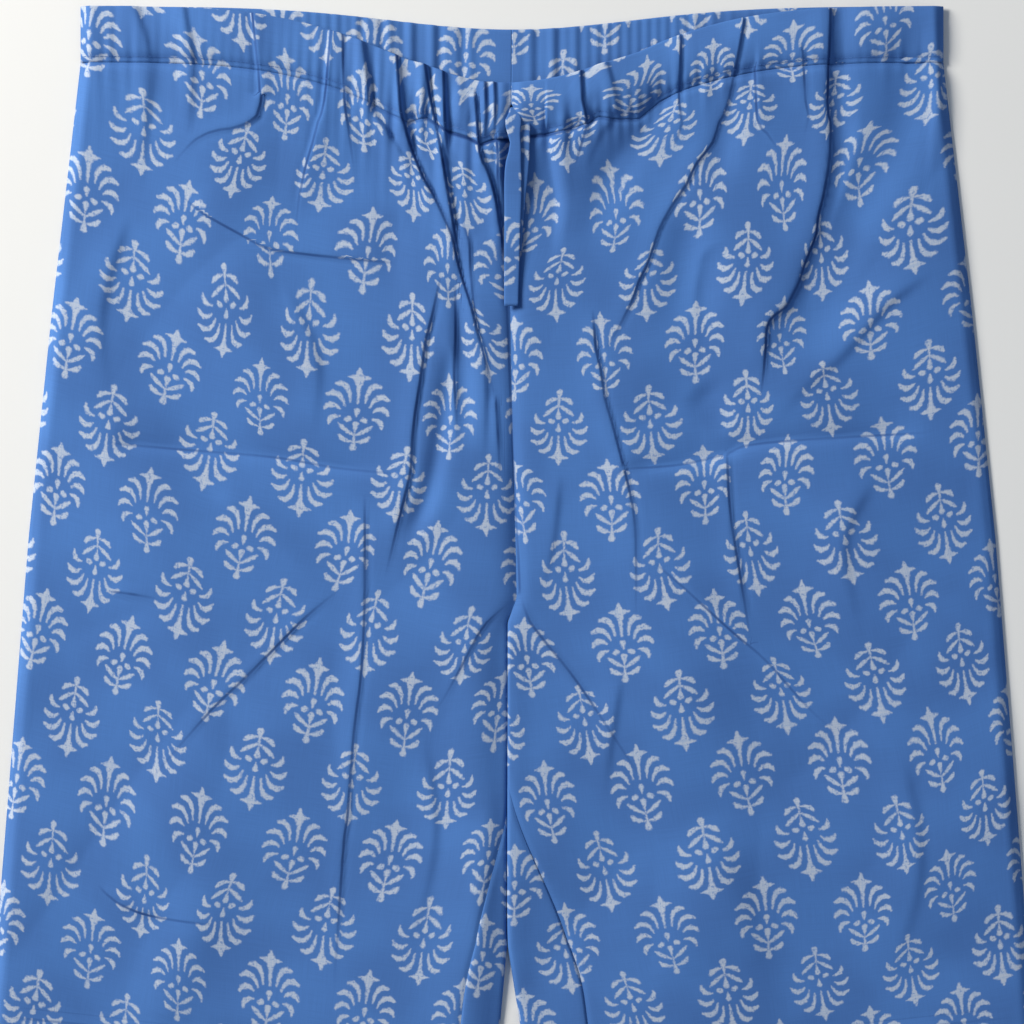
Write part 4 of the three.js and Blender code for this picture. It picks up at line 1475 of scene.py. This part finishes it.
# The right half of the upright sprig, as lines of (across, up, half width): a star on a stem,
# four curled petals a side, buds and leaves round a short stem, and a spread foot.
SPRIG_LINES = (
    ((0, 6.4, 0.45), (0, 16.4, 1.2), (0, 21.6, 3.0), (0, 27.2, 0.6)),
    ((0, 21.9, 2.4), (6.3, 22.2, 0.25)),
    ((4.3, 6.9, 0.4), (5.0, 12.3, 0.95), (7.0, 16.2, 1.5), (9.5, 17.8, 1.6), (12.4, 17.3, 0.95)),
    ((7.3, 4.1, 0.4), (8.8, 7.9, 0.95), (11.2, 10.6, 1.5), (14.4, 11.3, 1.65), (17.9, 9.7, 0.8)),
    ((9.9, 1.6, 0.5), (12.2, 3.3, 1.2), (15.0, 3.6, 1.7), (17.5, 2.1, 1.35), (18.8, 0.0, 0.55)),
    ((9.8, -3.4, 0.5), (12.3, -3.8, 1.1), (14.4, -5.0, 1.55), (15.6, -7.4, 1.2), (15.7, -9.7, 0.5)),
    ((0, 1.6, 1.65), (0, -2.6, 0.25)),
    ((0, -7.7, 1.8), (0, -13.4, 0.25)),
    ((4.3, -4.4, 1.6), (5.4, -5.0, 1.45)),
    ((0.7, -15.5, 0.45), (4.4, -13.1, 1.2), (7.9, -10.3, 1.25), (9.9, -8.5, 0.4)),
    ((1.3, -20.4, 0.5), (4.6, -19.9, 1.2), (7.2, -18.5, 1.6), (8.7, -16.6, 0.85)),
    ((0, -14.5, 0.4), (0, -20.0, 0.7), (0, -24.7, 2.0)),
)
SPRIG = tuple(
    Stroke(start[:2], start[2], end[:2], end[2])
    for line in SPRIG_LINES
    for start, end in zip(line, line[1:])
)


class Tree:
    """A short way to place and join nodes in one node tree."""

    def __init__(self, nodes: bpy.types.NodeTree) -> None:
        """Keeps the tree that the nodes go into."""
        self.tree = nodes

    def add(self, kind: str, **settings: object) -> bpy.types.Node:
        """Adds a node, with its settings."""
        node = self.tree.nodes.new(kind)
        for name, value in settings.items():
            setattr(node, name, value)
        return node

    def feed(self, socket: bpy.types.NodeSocket, value: object) -> None:
        """Gives a socket a link, or a plain value."""
        if isinstance(value, bpy.types.NodeSocket):
            self.tree.links.new(value, socket)
        elif value is not None:
            socket.default_value = value

    def math(self, operation: str, *values: object, clamp: bool = False) -> bpy.types.NodeSocket:
        """The result of a Math node."""
        node = self.add("ShaderNodeMath", operation=operation, use_clamp=clamp)
        for socket, value in zip(node.inputs, values):
            self.feed(socket, value)
        return node.outputs[0]

    def vector(self, operation: str, *values: object) -> bpy.types.NodeSocket:
        """The result of a Vector Math node: a number for a dot product or a length."""
        node = self.add("ShaderNodeVectorMath", operation=operation)
        for socket, value in zip(node.inputs, values):
            self.feed(socket, value)
        return node.outputs["Value" if operation in {"DOT_PRODUCT", "LENGTH", "DISTANCE"} else "Vector"]

    def scaled(self, vector: object, factor: object) -> bpy.types.NodeSocket:
        """A vector times a number."""
        node = self.add("ShaderNodeVectorMath", operation="SCALE")
        self.feed(node.inputs[0], vector)
        self.feed(node.inputs["Scale"], factor)
        return node.outputs["Vector"]

    def step(self, value: object, low: float, high: float) -> bpy.types.NodeSocket:
        """A smooth step of a value from 0 at low to 1 at high."""
        node = self.add("ShaderNodeMapRange", interpolation_type="SMOOTHSTEP")
        self.feed(node.inputs["Value"], value)
        node.inputs["From Min"].default_value = low
        node.inputs["From Max"].default_value = high
        return node.outputs["Result"]

    def noise(
        self, vector: object, scale: float, detail: float = 2.0, rough: float = 0.5
    ) -> bpy.types.Node:
        """A noise texture over a flat vector."""
        node = self.add("ShaderNodeTexNoise", noise_dimensions="2D")
        self.feed(node.inputs["Vector"], vector)
        node.inputs["Scale"].default_value = scale
        node.inputs["Detail"].default_value = detail
        node.inputs["Roughness"].default_value = rough
        return node

    def mix(
        self, factor: object, first: object, second: object, blend_type: str = "MIX"
    ) -> bpy.types.NodeSocket:
        """A mix of two colours."""
        node = self.add("ShaderNodeMix", data_type="RGBA", blend_type=blend_type)
        self.feed(node.inputs["Factor"], factor)
        self.feed(node.inputs[6], first)
        self.feed(node.inputs[7], second)
        return node.outputs[2]

    def parts(self, vector: object) -> tuple[bpy.types.NodeSocket, bpy.types.NodeSocket]:
        """The first two parts of a vector."""
        node = self.add("ShaderNodeSeparateXYZ")
        self.feed(node.inputs[0], vector)
        return node.outputs[0], node.outputs[1]

    def joined(self, x: object, y: object, z: object = 0.0) -> bpy.types.NodeSocket:
        """A vector from its parts."""
        node = self.add("ShaderNodeCombineXYZ")
        for socket, value in zip(node.inputs, (x, y, z)):
            self.feed(socket, value)
        return node.outputs[0]


def new_group(name: str, inputs: dict[str, tuple[str, object]], outputs: dict[str, str]) -> tuple:
    """Starts a shader node group with named sockets.

    Args:
        name: The group's name.
        inputs: Each input's name, with its kind and its default.
        outputs: Each output's name, with its kind.

    Returns:
        The group, a Tree for it, and its input and output nodes.
    """
    group = bpy.data.node_groups.new(name, "ShaderNodeTree")
    for label, (kind, default) in inputs.items():
        socket = group.interface.new_socket(label, in_out="INPUT", socket_type=kind)
        if default is not None:
            socket.default_value = default
    for label, kind in outputs.items():
        group.interface.new_socket(label, in_out="OUTPUT", socket_type=kind)
    tree = Tree(group)
    return group, tree, tree.add("NodeGroupInput"), tree.add("NodeGroupOutput")


FLOAT = "NodeSocketFloat"
VECTOR = "NodeSocketVector"


@dataclass(frozen=True)
class PrintHand:
    """How unevenly the blocks are set down and inked, in millimetres, and radians for the turn.

    A scale is that of a noise, counted for a millimetre, and a pair is where a step starts and
    ends.
    """

    stray: tuple[float, float, float] = (2.2, 3.0, 0.0)
    seed_at: tuple[float, float, float] = (17.3, 5.1, 0.0)
    turn: float = 0.13
    wander: float = 0.9
    wander_scale: float = 0.55
    notch: float = 0.3
    notch_scale: float = 3.2
    swell: float = 0.3
    edge: tuple[float, float] = (-0.8, 0.6)
    gap_scale: float = 0.42
    gap_roughness: float = 0.6
    gap: tuple[float, float] = (0.6, 0.74)
    spread: float = 0.13
    wear: float = 0.5


PRINT_HAND = PrintHand()
NOISE_MEAN = (0.5, 0.5, 0.5)
NO_STROKE = 1e3

# The painted shade beside a crease, a dark line in the colour: how far off its middle is, and where its
# core and its edge end.
CREASE_AT = 0.55
CREASE_CORE = 0.15
CREASE_EDGE = 1.35

# The weave: the width of a thread, the share of the threads' ridges, and the scales of the
# noises for the slubs, across and along a thread, and for the clouds in the dye.
THREAD_WIDTH = 0.42
RIDGE_SHARE = 0.5
SLUB_ACROSS = 1.9
SLUB_ALONG = 0.05
CLOUD_SCALE = 0.018


class Effects:
    """The shader node groups that the finishes share, each built once."""

    def __init__(self) -> None:
        """Builds the groups."""
        self.stroke = self._stroke()
        self.sprig = self._sprig()
        self.block_print = self._block_print()
        self.weave = self._weave()
        self.crease = self._crease()

    @staticmethod
    def _stroke() -> bpy.types.NodeTree:
        """The distance to one stroke of the block, or the nearest so far if that is less."""
        group, tree, given, out = new_group(
            "brush_stroke",
            {
                "Point": (VECTOR, None), "Start": (VECTOR, None), "Run": (VECTOR, None),
                "Share": (VECTOR, None), "Start width": (FLOAT, 1.0), "Widening": (FLOAT, 0.0),
                "Nearest": (FLOAT, NO_STROKE),
            },
            {"Nearest": FLOAT},
        )
        away = tree.vector("SUBTRACT", given.outputs["Point"], given.outputs["Start"])
        gone = tree.vector("DOT_PRODUCT", away, given.outputs["Share"])
        along = tree.math("ADD", gone, 0.0, clamp=True)
        beside = tree.vector("DISTANCE", away, tree.scaled(given.outputs["Run"], along))
        width = tree.math(
            "MULTIPLY_ADD", along, given.outputs["Widening"], given.outputs["Start width"]
        )
        nearest = tree.math("MINIMUM", tree.math("SUBTRACT", beside, width), given.outputs["Nearest"])
        tree.feed(out.inputs["Nearest"], nearest)
        return group

    def _sprig(self) -> bpy.types.NodeTree:
        """The distance to the whole sprig at a place measured from its middle."""
        group, tree, given, out = new_group("sprig", {"Place": (VECTOR, None)}, {"Distance": FLOAT})
        x, y = tree.parts(given.outputs["Place"])
        point = tree.joined(tree.math("ABSOLUTE", x), y)
        nearest: object = NO_STROKE
        for stroke in SPRIG:
            run = Vector((*stroke.end, 0.0)) - Vector((*stroke.start, 0.0))
            node = tree.add("ShaderNodeGroup", node_tree=self.stroke)
            tree.feed(node.inputs["Point"], point)
            tree.feed(node.inputs["Start"], (*stroke.start, 0.0))
            tree.feed(node.inputs["Run"], run)
            tree.feed(node.inputs["Share"], run / run.length_squared)
            tree.feed(node.inputs["Start width"], stroke.start_width)
            tree.feed(node.inputs["Widening"], stroke.end_width - stroke.start_width)
            tree.feed(node.inputs["Nearest"], nearest)
            nearest = node.outputs["Nearest"]
        tree.feed(out.inputs["Distance"], nearest)
        return group

    def _block_print(self) -> bpy.types.NodeTree:
        """Sprigs in a half-drop repeat, every other one turned over, each set down by hand."""
        group, tree, given, out = new_group(
            "block_print",
            {
                "Blocks": (VECTOR, None), "Pitch": (VECTOR, BLOCK_PITCH),
                "Spread": (FLOAT, PRINT_HAND.spread), "Wear": (FLOAT, PRINT_HAND.wear),
            },
            {"Ink": FLOAT},
        )
        blocks = given.outputs["Blocks"]
        pitch = given.outputs["Pitch"]
        upright = tree.vector("FLOOR", tree.vector("ADD", blocks, (0.5, 0.5, 0.0)))
        turned = tree.vector("ADD", tree.vector("FLOOR", blocks), (0.5, 0.5, 0.0))
        from_upright = tree.vector("SUBTRACT", blocks, upright)
        from_turned = tree.vector("SUBTRACT", blocks, turned)
        x, y = tree.parts(from_upright)
        reach = tree.math("ADD", tree.math("ABSOLUTE", x), tree.math("ABSOLUTE", y))
        is_turned = tree.math("GREATER_THAN", reach, 0.5)
        sign = tree.math("MULTIPLY_ADD", is_turned, -2.0, 1.0)
        chosen = tree.mix(is_turned, from_upright, from_turned)
        block = tree.mix(is_turned, upright, turned)
        local = tree.scaled(tree.vector("MULTIPLY", chosen, pitch), sign)
        chance = tree.add("ShaderNodeTexWhiteNoise", noise_dimensions="2D")
        tree.feed(chance.inputs["Vector"], tree.vector("ADD", block, PRINT_HAND.seed_at))
        shift = tree.vector("SUBTRACT", chance.outputs["Color"], NOISE_MEAN)
        local = tree.vector("ADD", local, tree.vector("MULTIPLY", shift, PRINT_HAND.stray))
        turn = tree.add("ShaderNodeVectorRotate", rotation_type="Z_AXIS")
        tree.feed(turn.inputs["Vector"], local)
        angle = tree.math(
            "MULTIPLY_ADD", chance.outputs["Value"], PRINT_HAND.turn, -0.5 * PRINT_HAND.turn
        )
        tree.feed(turn.inputs["Angle"], angle)
        place = tree.vector("MULTIPLY", turn.outputs[0], (1.0, 1.0, 0.0))
        cloth = tree.vector("MULTIPLY", blocks, pitch)
        rough = tree.noise(cloth, PRINT_HAND.wander_scale, 0.0)
        wandered = tree.vector("SUBTRACT", rough.outputs["Color"], NOISE_MEAN)
        by = (PRINT_HAND.wander, PRINT_HAND.wander, 0.0)
        warped = tree.vector("ADD", place, tree.vector("MULTIPLY", wandered, by))
        sprig = tree.add("ShaderNodeGroup", node_tree=self.sprig)
        tree.feed(sprig.inputs["Place"], warped)
        ragged = tree.noise(cloth, PRINT_HAND.notch_scale, 0.0)
        notch = tree.math("SUBTRACT", ragged.outputs["Fac"], 0.5)
        edge = tree.math("MULTIPLY_ADD", notch, PRINT_HAND.notch, sprig.outputs["Distance"])
        spread = tree.math(
            "MULTIPLY_ADD", chance.outputs["Value"], PRINT_HAND.swell, given.outputs["Spread"]
        )
        edge = tree.math("SUBTRACT", edge, tree.math("SUBTRACT", spread, 0.5 * PRINT_HAND.swell))
        ink = tree.math("SUBTRACT", 1.0, tree.step(edge, *PRINT_HAND.edge))
        gaps = tree.noise(cloth, PRINT_HAND.gap_scale, 1.0, PRINT_HAND.gap_roughness)
        gap = tree.step(gaps.outputs["Fac"], *PRINT_HAND.gap)
        worn = tree.math("MULTIPLY", gap, given.outputs["Wear"])
        thin = tree.math("SUBTRACT", 1.0, worn)
        tree.feed(out.inputs["Ink"], tree.math("MULTIPLY", ink, thin))
        return group

    @staticmethod
    def _crease() -> bpy.types.NodeTree:
        """The painted shade under the edge of a lap: a dark line that darkens the colour and also
        drives a bump.
        """
        group, tree, given, out = new_group(
            "painted_crease_shade", {"Distance": (FLOAT, CREASE_LIMIT), "Depth": (FLOAT, 0.0)}, {"Shade": FLOAT}
        )
        beside = tree.math("ABSOLUTE", tree.math("SUBTRACT", given.outputs["Distance"], CREASE_AT))
        core = tree.math("SUBTRACT", 1.0, tree.step(beside, CREASE_CORE, CREASE_EDGE))
        tree.feed(out.inputs["Shade"], tree.math("MULTIPLY", core, given.outputs["Depth"]))
        return group

    @staticmethod
    def _weave() -> bpy.types.NodeTree:
        """A plain weave over places in millimetres, with slubs in its threads."""
        group, tree, given, out = new_group(
            "plain_weave",
            {"Place": (VECTOR, None), "Thread": (FLOAT, THREAD_WIDTH)},
            {"Height": FLOAT, "Slub": FLOAT, "Cloud": FLOAT},
        )
        turns = tree.math("DIVIDE", math.pi, given.outputs["Thread"])
        x, y = tree.parts(tree.scaled(given.outputs["Place"], turns))
        warp_wave, weft_wave = tree.math("SINE", x), tree.math("SINE", y)
        over = tree.math("MULTIPLY", warp_wave, weft_wave)
        ridge = tree.math("ADD", tree.math("ABSOLUTE", warp_wave), tree.math("ABSOLUTE", weft_wave))
        height = tree.math("ADD", over, tree.math("MULTIPLY", ridge, RIDGE_SHARE))
        warp, weft = (
            tree.noise(tree.vector("MULTIPLY", given.outputs["Place"], (*scales, 1.0)), 1.0, 0.0)
            for scales in ((SLUB_ACROSS, SLUB_ALONG), (SLUB_ALONG, SLUB_ACROSS))
        )
        slub = tree.math("MULTIPLY", tree.math("ADD", warp.outputs["Fac"], weft.outputs["Fac"]), 0.5)
        cloud = tree.noise(given.outputs["Place"], CLOUD_SCALE, 1.0)
        tree.feed(out.inputs["Height"], height)
        tree.feed(out.inputs["Slub"], slub)
        tree.feed(out.inputs["Cloud"], cloud.outputs["Fac"])
        return group


def linear(red: int, green: int, blue: int) -> tuple[float, float, float, float]:
    """A display colour from 0 to 255 as a shader colour."""
    parts = [channel / 255.0 for channel in (red, green, blue)]
    out = [p / 12.92 if p <= 0.04045 else ((p + 0.055) / 1.055) ** 2.4 for p in parts]
    return (*out, 1.0)


@dataclass(frozen=True)
class PrintedCotton:
    """Blue plain-weave cotton with greyish cream sprigs printed on it by block, and painted shade along
    its creases and its casing seam.
    """

    name: str = "printed_cotton"
    ground: tuple[float, float, float, float] = linear(73, 118, 183)
    ground_deep: tuple[float, float, float, float] = linear(69, 111, 174)
    ink: tuple[float, float, float, float] = linear(182, 191, 206)
    ink_thin: tuple[float, float, float, float] = linear(162, 178, 203)
    ink_strength: float = 0.95
    # Painted shade: the colour that creases and the casing seam are darkened by, the bump that this
    # shade drives, and how much of the print it hides.
    crease_shade: tuple[float, float, float, float] = (0.2, 0.27, 0.4, 1.0)
    crease_relief: float = 0.22
    hidden_by_shade: float = 1.3
    cloud_step: tuple[float, float] = (0.3, 0.7)
    slub_step: tuple[float, float] = (0.36, 0.62)
    slub_light: float = 0.95
    ink_step: tuple[float, float] = (0.38, 0.6)
    weave_relief: float = 0.04
    weave_strength: float = 0.3
    roughness: float = 0.84
    specular: float = 0.2

    def build(self, effects: Effects) -> bpy.types.Material:
        """Makes the material.

        Args:
            effects: The shared node groups.

        Returns:
            The material.
        """
        material = bpy.data.materials.new(self.name)
        material.use_nodes = True
        tree = Tree(material.node_tree)
        shader = material.node_tree.nodes["Principled BSDF"]
        # The crease maps give the painted shade: dark lines where the creases and the casing seam would
        # be shaded.
        shade: object = 0.0
        for label in CREASE_MAPS:
            distance, depth = tree.parts(tree.add("ShaderNodeUVMap", uv_map=label).outputs["UV"])
            crease = tree.add("ShaderNodeGroup", node_tree=effects.crease)
            tree.feed(crease.inputs["Distance"], distance)
            tree.feed(crease.inputs["Depth"], depth)
            shade = tree.math("MAXIMUM", shade, crease.outputs["Shade"])
        chart = tree.add("ShaderNodeUVMap", uv_map=PRINT_MAP)
        block = tree.add("ShaderNodeGroup", node_tree=effects.block_print)
        tree.feed(block.inputs["Blocks"], chart.outputs["UV"])
        weave = tree.add("ShaderNodeGroup", node_tree=effects.weave)
        cloth = tree.vector("MULTIPLY", chart.outputs["UV"], BLOCK_PITCH)
        tree.feed(weave.inputs["Place"], cloth)
        slub, cloud = weave.outputs["Slub"], weave.outputs["Cloud"]
        ground = tree.mix(tree.step(cloud, *self.cloud_step), self.ground_deep, self.ground)
        thin_ground = tree.mix(self.slub_light, (0.0, 0.0, 0.0, 1.0), ground)
        ground = tree.mix(tree.step(slub, *self.slub_step), thin_ground, ground)
        ink_colour = tree.mix(tree.step(slub, *self.ink_step), self.ink_thin, self.ink)
        # The print fades under the painted shade, and that shade is then multiplied into the colour.
        hidden = tree.math("MULTIPLY", shade, self.hidden_by_shade)
        shown = tree.math("SUBTRACT", self.ink_strength, hidden, clamp=True)
        colour = tree.mix(tree.math("MULTIPLY", block.outputs["Ink"], shown), ground, ink_colour)
        tree.feed(shader.inputs["Base Color"], tree.mix(shade, colour, self.crease_shade, "MULTIPLY"))
        shader.inputs["Roughness"].default_value = self.roughness
        shader.inputs["Specular IOR Level"].default_value = self.specular
        grain = tree.add("ShaderNodeBump")
        grain.inputs["Strength"].default_value = self.weave_strength
        grain.inputs["Distance"].default_value = self.weave_relief * MM
        tree.feed(grain.inputs["Height"], weave.outputs["Height"])
        laps = tree.add("ShaderNodeBump", invert=True)
        laps.inputs["Strength"].default_value = 1.0
        laps.inputs["Distance"].default_value = self.crease_relief * MM
        tree.feed(laps.inputs["Height"], shade)
        tree.feed(laps.inputs["Normal"], grain.outputs["Normal"])
        tree.feed(shader.inputs["Normal"], laps.outputs["Normal"])
        return material


@dataclass(frozen=True)
class Thread:
    """The blue sewing thread."""

    name: str = "sewing_thread"
    colour: tuple[float, float, float, float] = linear(66, 108, 172)
    roughness: float = 0.6

    def build(self) -> bpy.types.Material:
        """Makes the material."""
        material = bpy.data.materials.new(self.name)
        material.use_nodes = True
        shader = material.node_tree.nodes["Principled BSDF"]
        shader.inputs["Base Color"].default_value = self.colour
        shader.inputs["Roughness"].default_value = self.roughness
        return material


@dataclass(frozen=True)
class Ground:
    """The pale surface that the trousers lie on."""

    colour: tuple[float, float, float, float] = linear(232, 231, 228)
    size: float = 6000.0
    drop: float = 0.4
    darker_share: float = 0.96
    cloud_scale: float = 3.0
    cloud_detail: float = 3.0
    roughness: float = 0.9

    def build(self) -> None:
        """Makes the surface."""
        side = self.size / 2.0 * MM
        mesh = bpy.data.meshes.new("pale_floor")
        z = -self.drop * MM
        corners = [(-side, -side, z), (side, -side, z), (side, side, z), (-side, side, z)]
        mesh.from_pydata(corners, [], [(0, 1, 2, 3)])
        material = bpy.data.materials.new("pale_floor")
        material.use_nodes = True
        tree = Tree(material.node_tree)
        shader = material.node_tree.nodes["Principled BSDF"]
        place = tree.add("ShaderNodeTexCoord").outputs["Object"]
        cloud = tree.noise(place, self.cloud_scale, self.cloud_detail)
        darker = tuple(self.darker_share * channel for channel in self.colour[:3]) + (1.0,)
        tree.feed(shader.inputs["Base Color"], tree.mix(cloud.outputs["Fac"], darker, self.colour))
        shader.inputs["Roughness"].default_value = self.roughness
        mesh.materials.append(material)
        floor = bpy.data.objects.new("pale_floor", mesh)
        bpy.context.scene.collection.objects.link(floor)


@dataclass(frozen=True)
class Lamp:
    """One soft lamp of the studio, aimed at the middle of what the camera sees."""

    name: str
    place: tuple[float, float, float]
    size: float
    power: float
    colour: tuple[float, float, float]


@dataclass
class Studio:
    """The camera straight above, and soft light from the upper left."""

    view_width: float = 665.6
    view_centre_down: float = 328.1
    camera_height: float = 2400.0
    sensor: float = 36.0
    sees_until: float = 20.0
    lamps: tuple[Lamp, ...] = (
        Lamp("key", (-2600, 1400, 1700), 1300, 180.0, (1.0, 0.97, 0.9)),
        Lamp("fill", (1700, -500, 1700), 1800, 6.0, (0.9, 0.96, 1.0)),
    )
    sky: tuple[float, float, float, float] = (0.74, 0.93, 1.28, 1.0)
    ambient: float = 0.19

    def aim(self) -> Vector:
        """The point that the camera looks at."""
        return Vector((0.0, LENGTH / 2.0 - self.view_centre_down, 0.0)) * MM

    def camera(self) -> None:
        """Makes the camera, which looks straight down with the waist at the top."""
        data = bpy.data.cameras.new("camera")
        data.sensor_width = self.sensor
        data.lens = self.sensor * self.camera_height / self.view_width
        data.clip_end = self.sees_until
        camera = bpy.data.objects.new("camera", data)
        camera.location = self.aim() + Vector((0.0, 0.0, self.camera_height * MM))
        bpy.context.scene.collection.objects.link(camera)
        bpy.context.scene.camera = camera

    def light(self) -> None:
        """Makes the lamps and the even light all round."""
        for lamp in self.lamps:
            data = bpy.data.lights.new(lamp.name, "AREA")
            data.size = lamp.size * MM
            data.energy = lamp.power
            data.color = lamp.colour
            piece = bpy.data.objects.new(lamp.name, data)
            piece.location = self.aim() + Vector(lamp.place) * MM
            piece.rotation_euler = (self.aim() - piece.location).to_track_quat("-Z", "Y").to_euler()
            bpy.context.scene.collection.objects.link(piece)
        world = bpy.data.worlds.new("studio")
        world.use_nodes = True
        sky = world.node_tree.nodes["Background"]
        sky.inputs["Color"].default_value = self.sky
        sky.inputs["Strength"].default_value = self.ambient
        bpy.context.scene.world = world
        bpy.context.scene.view_settings.view_transform = "Standard"


def finish_piece(
    piece: bpy.types.Object, node: str, area: float
) -> None:
    """Puts a cloth piece on the body, in place of its solid, and logs how many faces it has.

    Args:
        piece: The piece.
        node: The solid that it stands for.
        area: The flat area of the cut, in square metres; not used.
    """
    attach(piece, "root")
    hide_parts(node)
    LOG.info("%s: %d faces", piece.name, len(piece.data.polygons))


@dataclass
class Trousers:
    """The whole garment: two backs, two fronts, four lengths of casing and the two ties."""

    layout: Layout
    front_cut: tuple[float, float] = (0.385, 0.975)
    back_cut: tuple[float, float] = (0.405, 1.0)
    casing_cut: tuple[float, float] = (0.41, 0.082)
    hem_stitch_up: float = 18.0
    seam_stitch_up: float = 3.2
    seam_stitch_inset: int = 2

    def dress(self, effects: Effects) -> None:
        """Makes every piece.

        Args:
            effects: The shared node groups.
        """
        cotton = PrintedCotton().build(effects)
        wrong_side = PrintedCotton(
            name="cotton_wrong_side", ground=linear(92, 132, 190), ground_deep=linear(86, 124, 182),
            ink=linear(134, 158, 196), ink_thin=linear(126, 150, 192), ink_strength=0.5,
        ).build(effects)
        thread = Thread().build()
        stitching = Stitching()
        panels = Panels(self.layout)
        casing = Casing(self.layout)
        for half in Half:
            side = half.value
            back = panels.back(half)
            piece = back.build([cotton, wrong_side], panels.cloth)
            finish_piece(piece, f"back_panel_{side}", back.area())
            front = panels.front(half)
            piece = front.build([cotton, wrong_side], panels.cloth)
            finish_piece(piece, f"front_panel_{side}", front.area())
            for sheet, up in ((front, 1.0), (back, -1.0)):
                line = self.hem_line(sheet)
                stitching.sew(f"hem_stitches_{sheet.name}", line, up, thread)
            for is_back in (True, False):
                sheet = casing.sheet(half, is_back)
                piece = sheet.build([cotton, wrong_side], casing.cloth)
                place = "back" if is_back else "front"
                finish_piece(piece, f"{place}_casing_{side}", sheet.area())
                if not is_back:
                    line = self.seam_line(sheet, casing)
                    stitching.sew(f"seam_stitches_{side}", line, 1.0, thread)
        ties = PrintedCotton(name="tie_cotton").build(effects)
        drawstring = Drawstring(self.layout)
        for route in (REAR_TIE, FRONT_TIE):
            drawstring.build(route, ties)

    def hem_line(self, sheet: ClothSheet) -> np.ndarray:
        """The places along a leg's hem that its stitches run through."""
        wanted = sheet.points[-1] + np.array([0.0, self.hem_stitch_up * MM, 0.0])
        y = sheet.points[:, 0, 1]
        row = int(np.argmin(np.abs(y - wanted[0, 1])))
        return sheet.points[row]

    def seam_line(self, sheet: ClothSheet, casing: Casing) -> np.ndarray:
        """The places along the casing, just above its seam, that its stitches run through."""
        down_in, _ = casing.path()
        wanted = self.layout.casing_depth - self.seam_stitch_up
        row = int(np.argmin(np.abs(down_in[: casing.depth_rows, 0] - wanted)))
        return sheet.points[row][self.seam_stitch_inset : -self.seam_stitch_inset]


def main() -> None:
    """Loads the frame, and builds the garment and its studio."""
    logging.basicConfig(level=logging.INFO, format="%(name)s: %(message)s")
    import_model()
    studio = Studio()
    studio.camera()
    Trousers(Layout()).dress(Effects())
    Ground().build()
    studio.light()


if __name__ == "__main__":
    main()
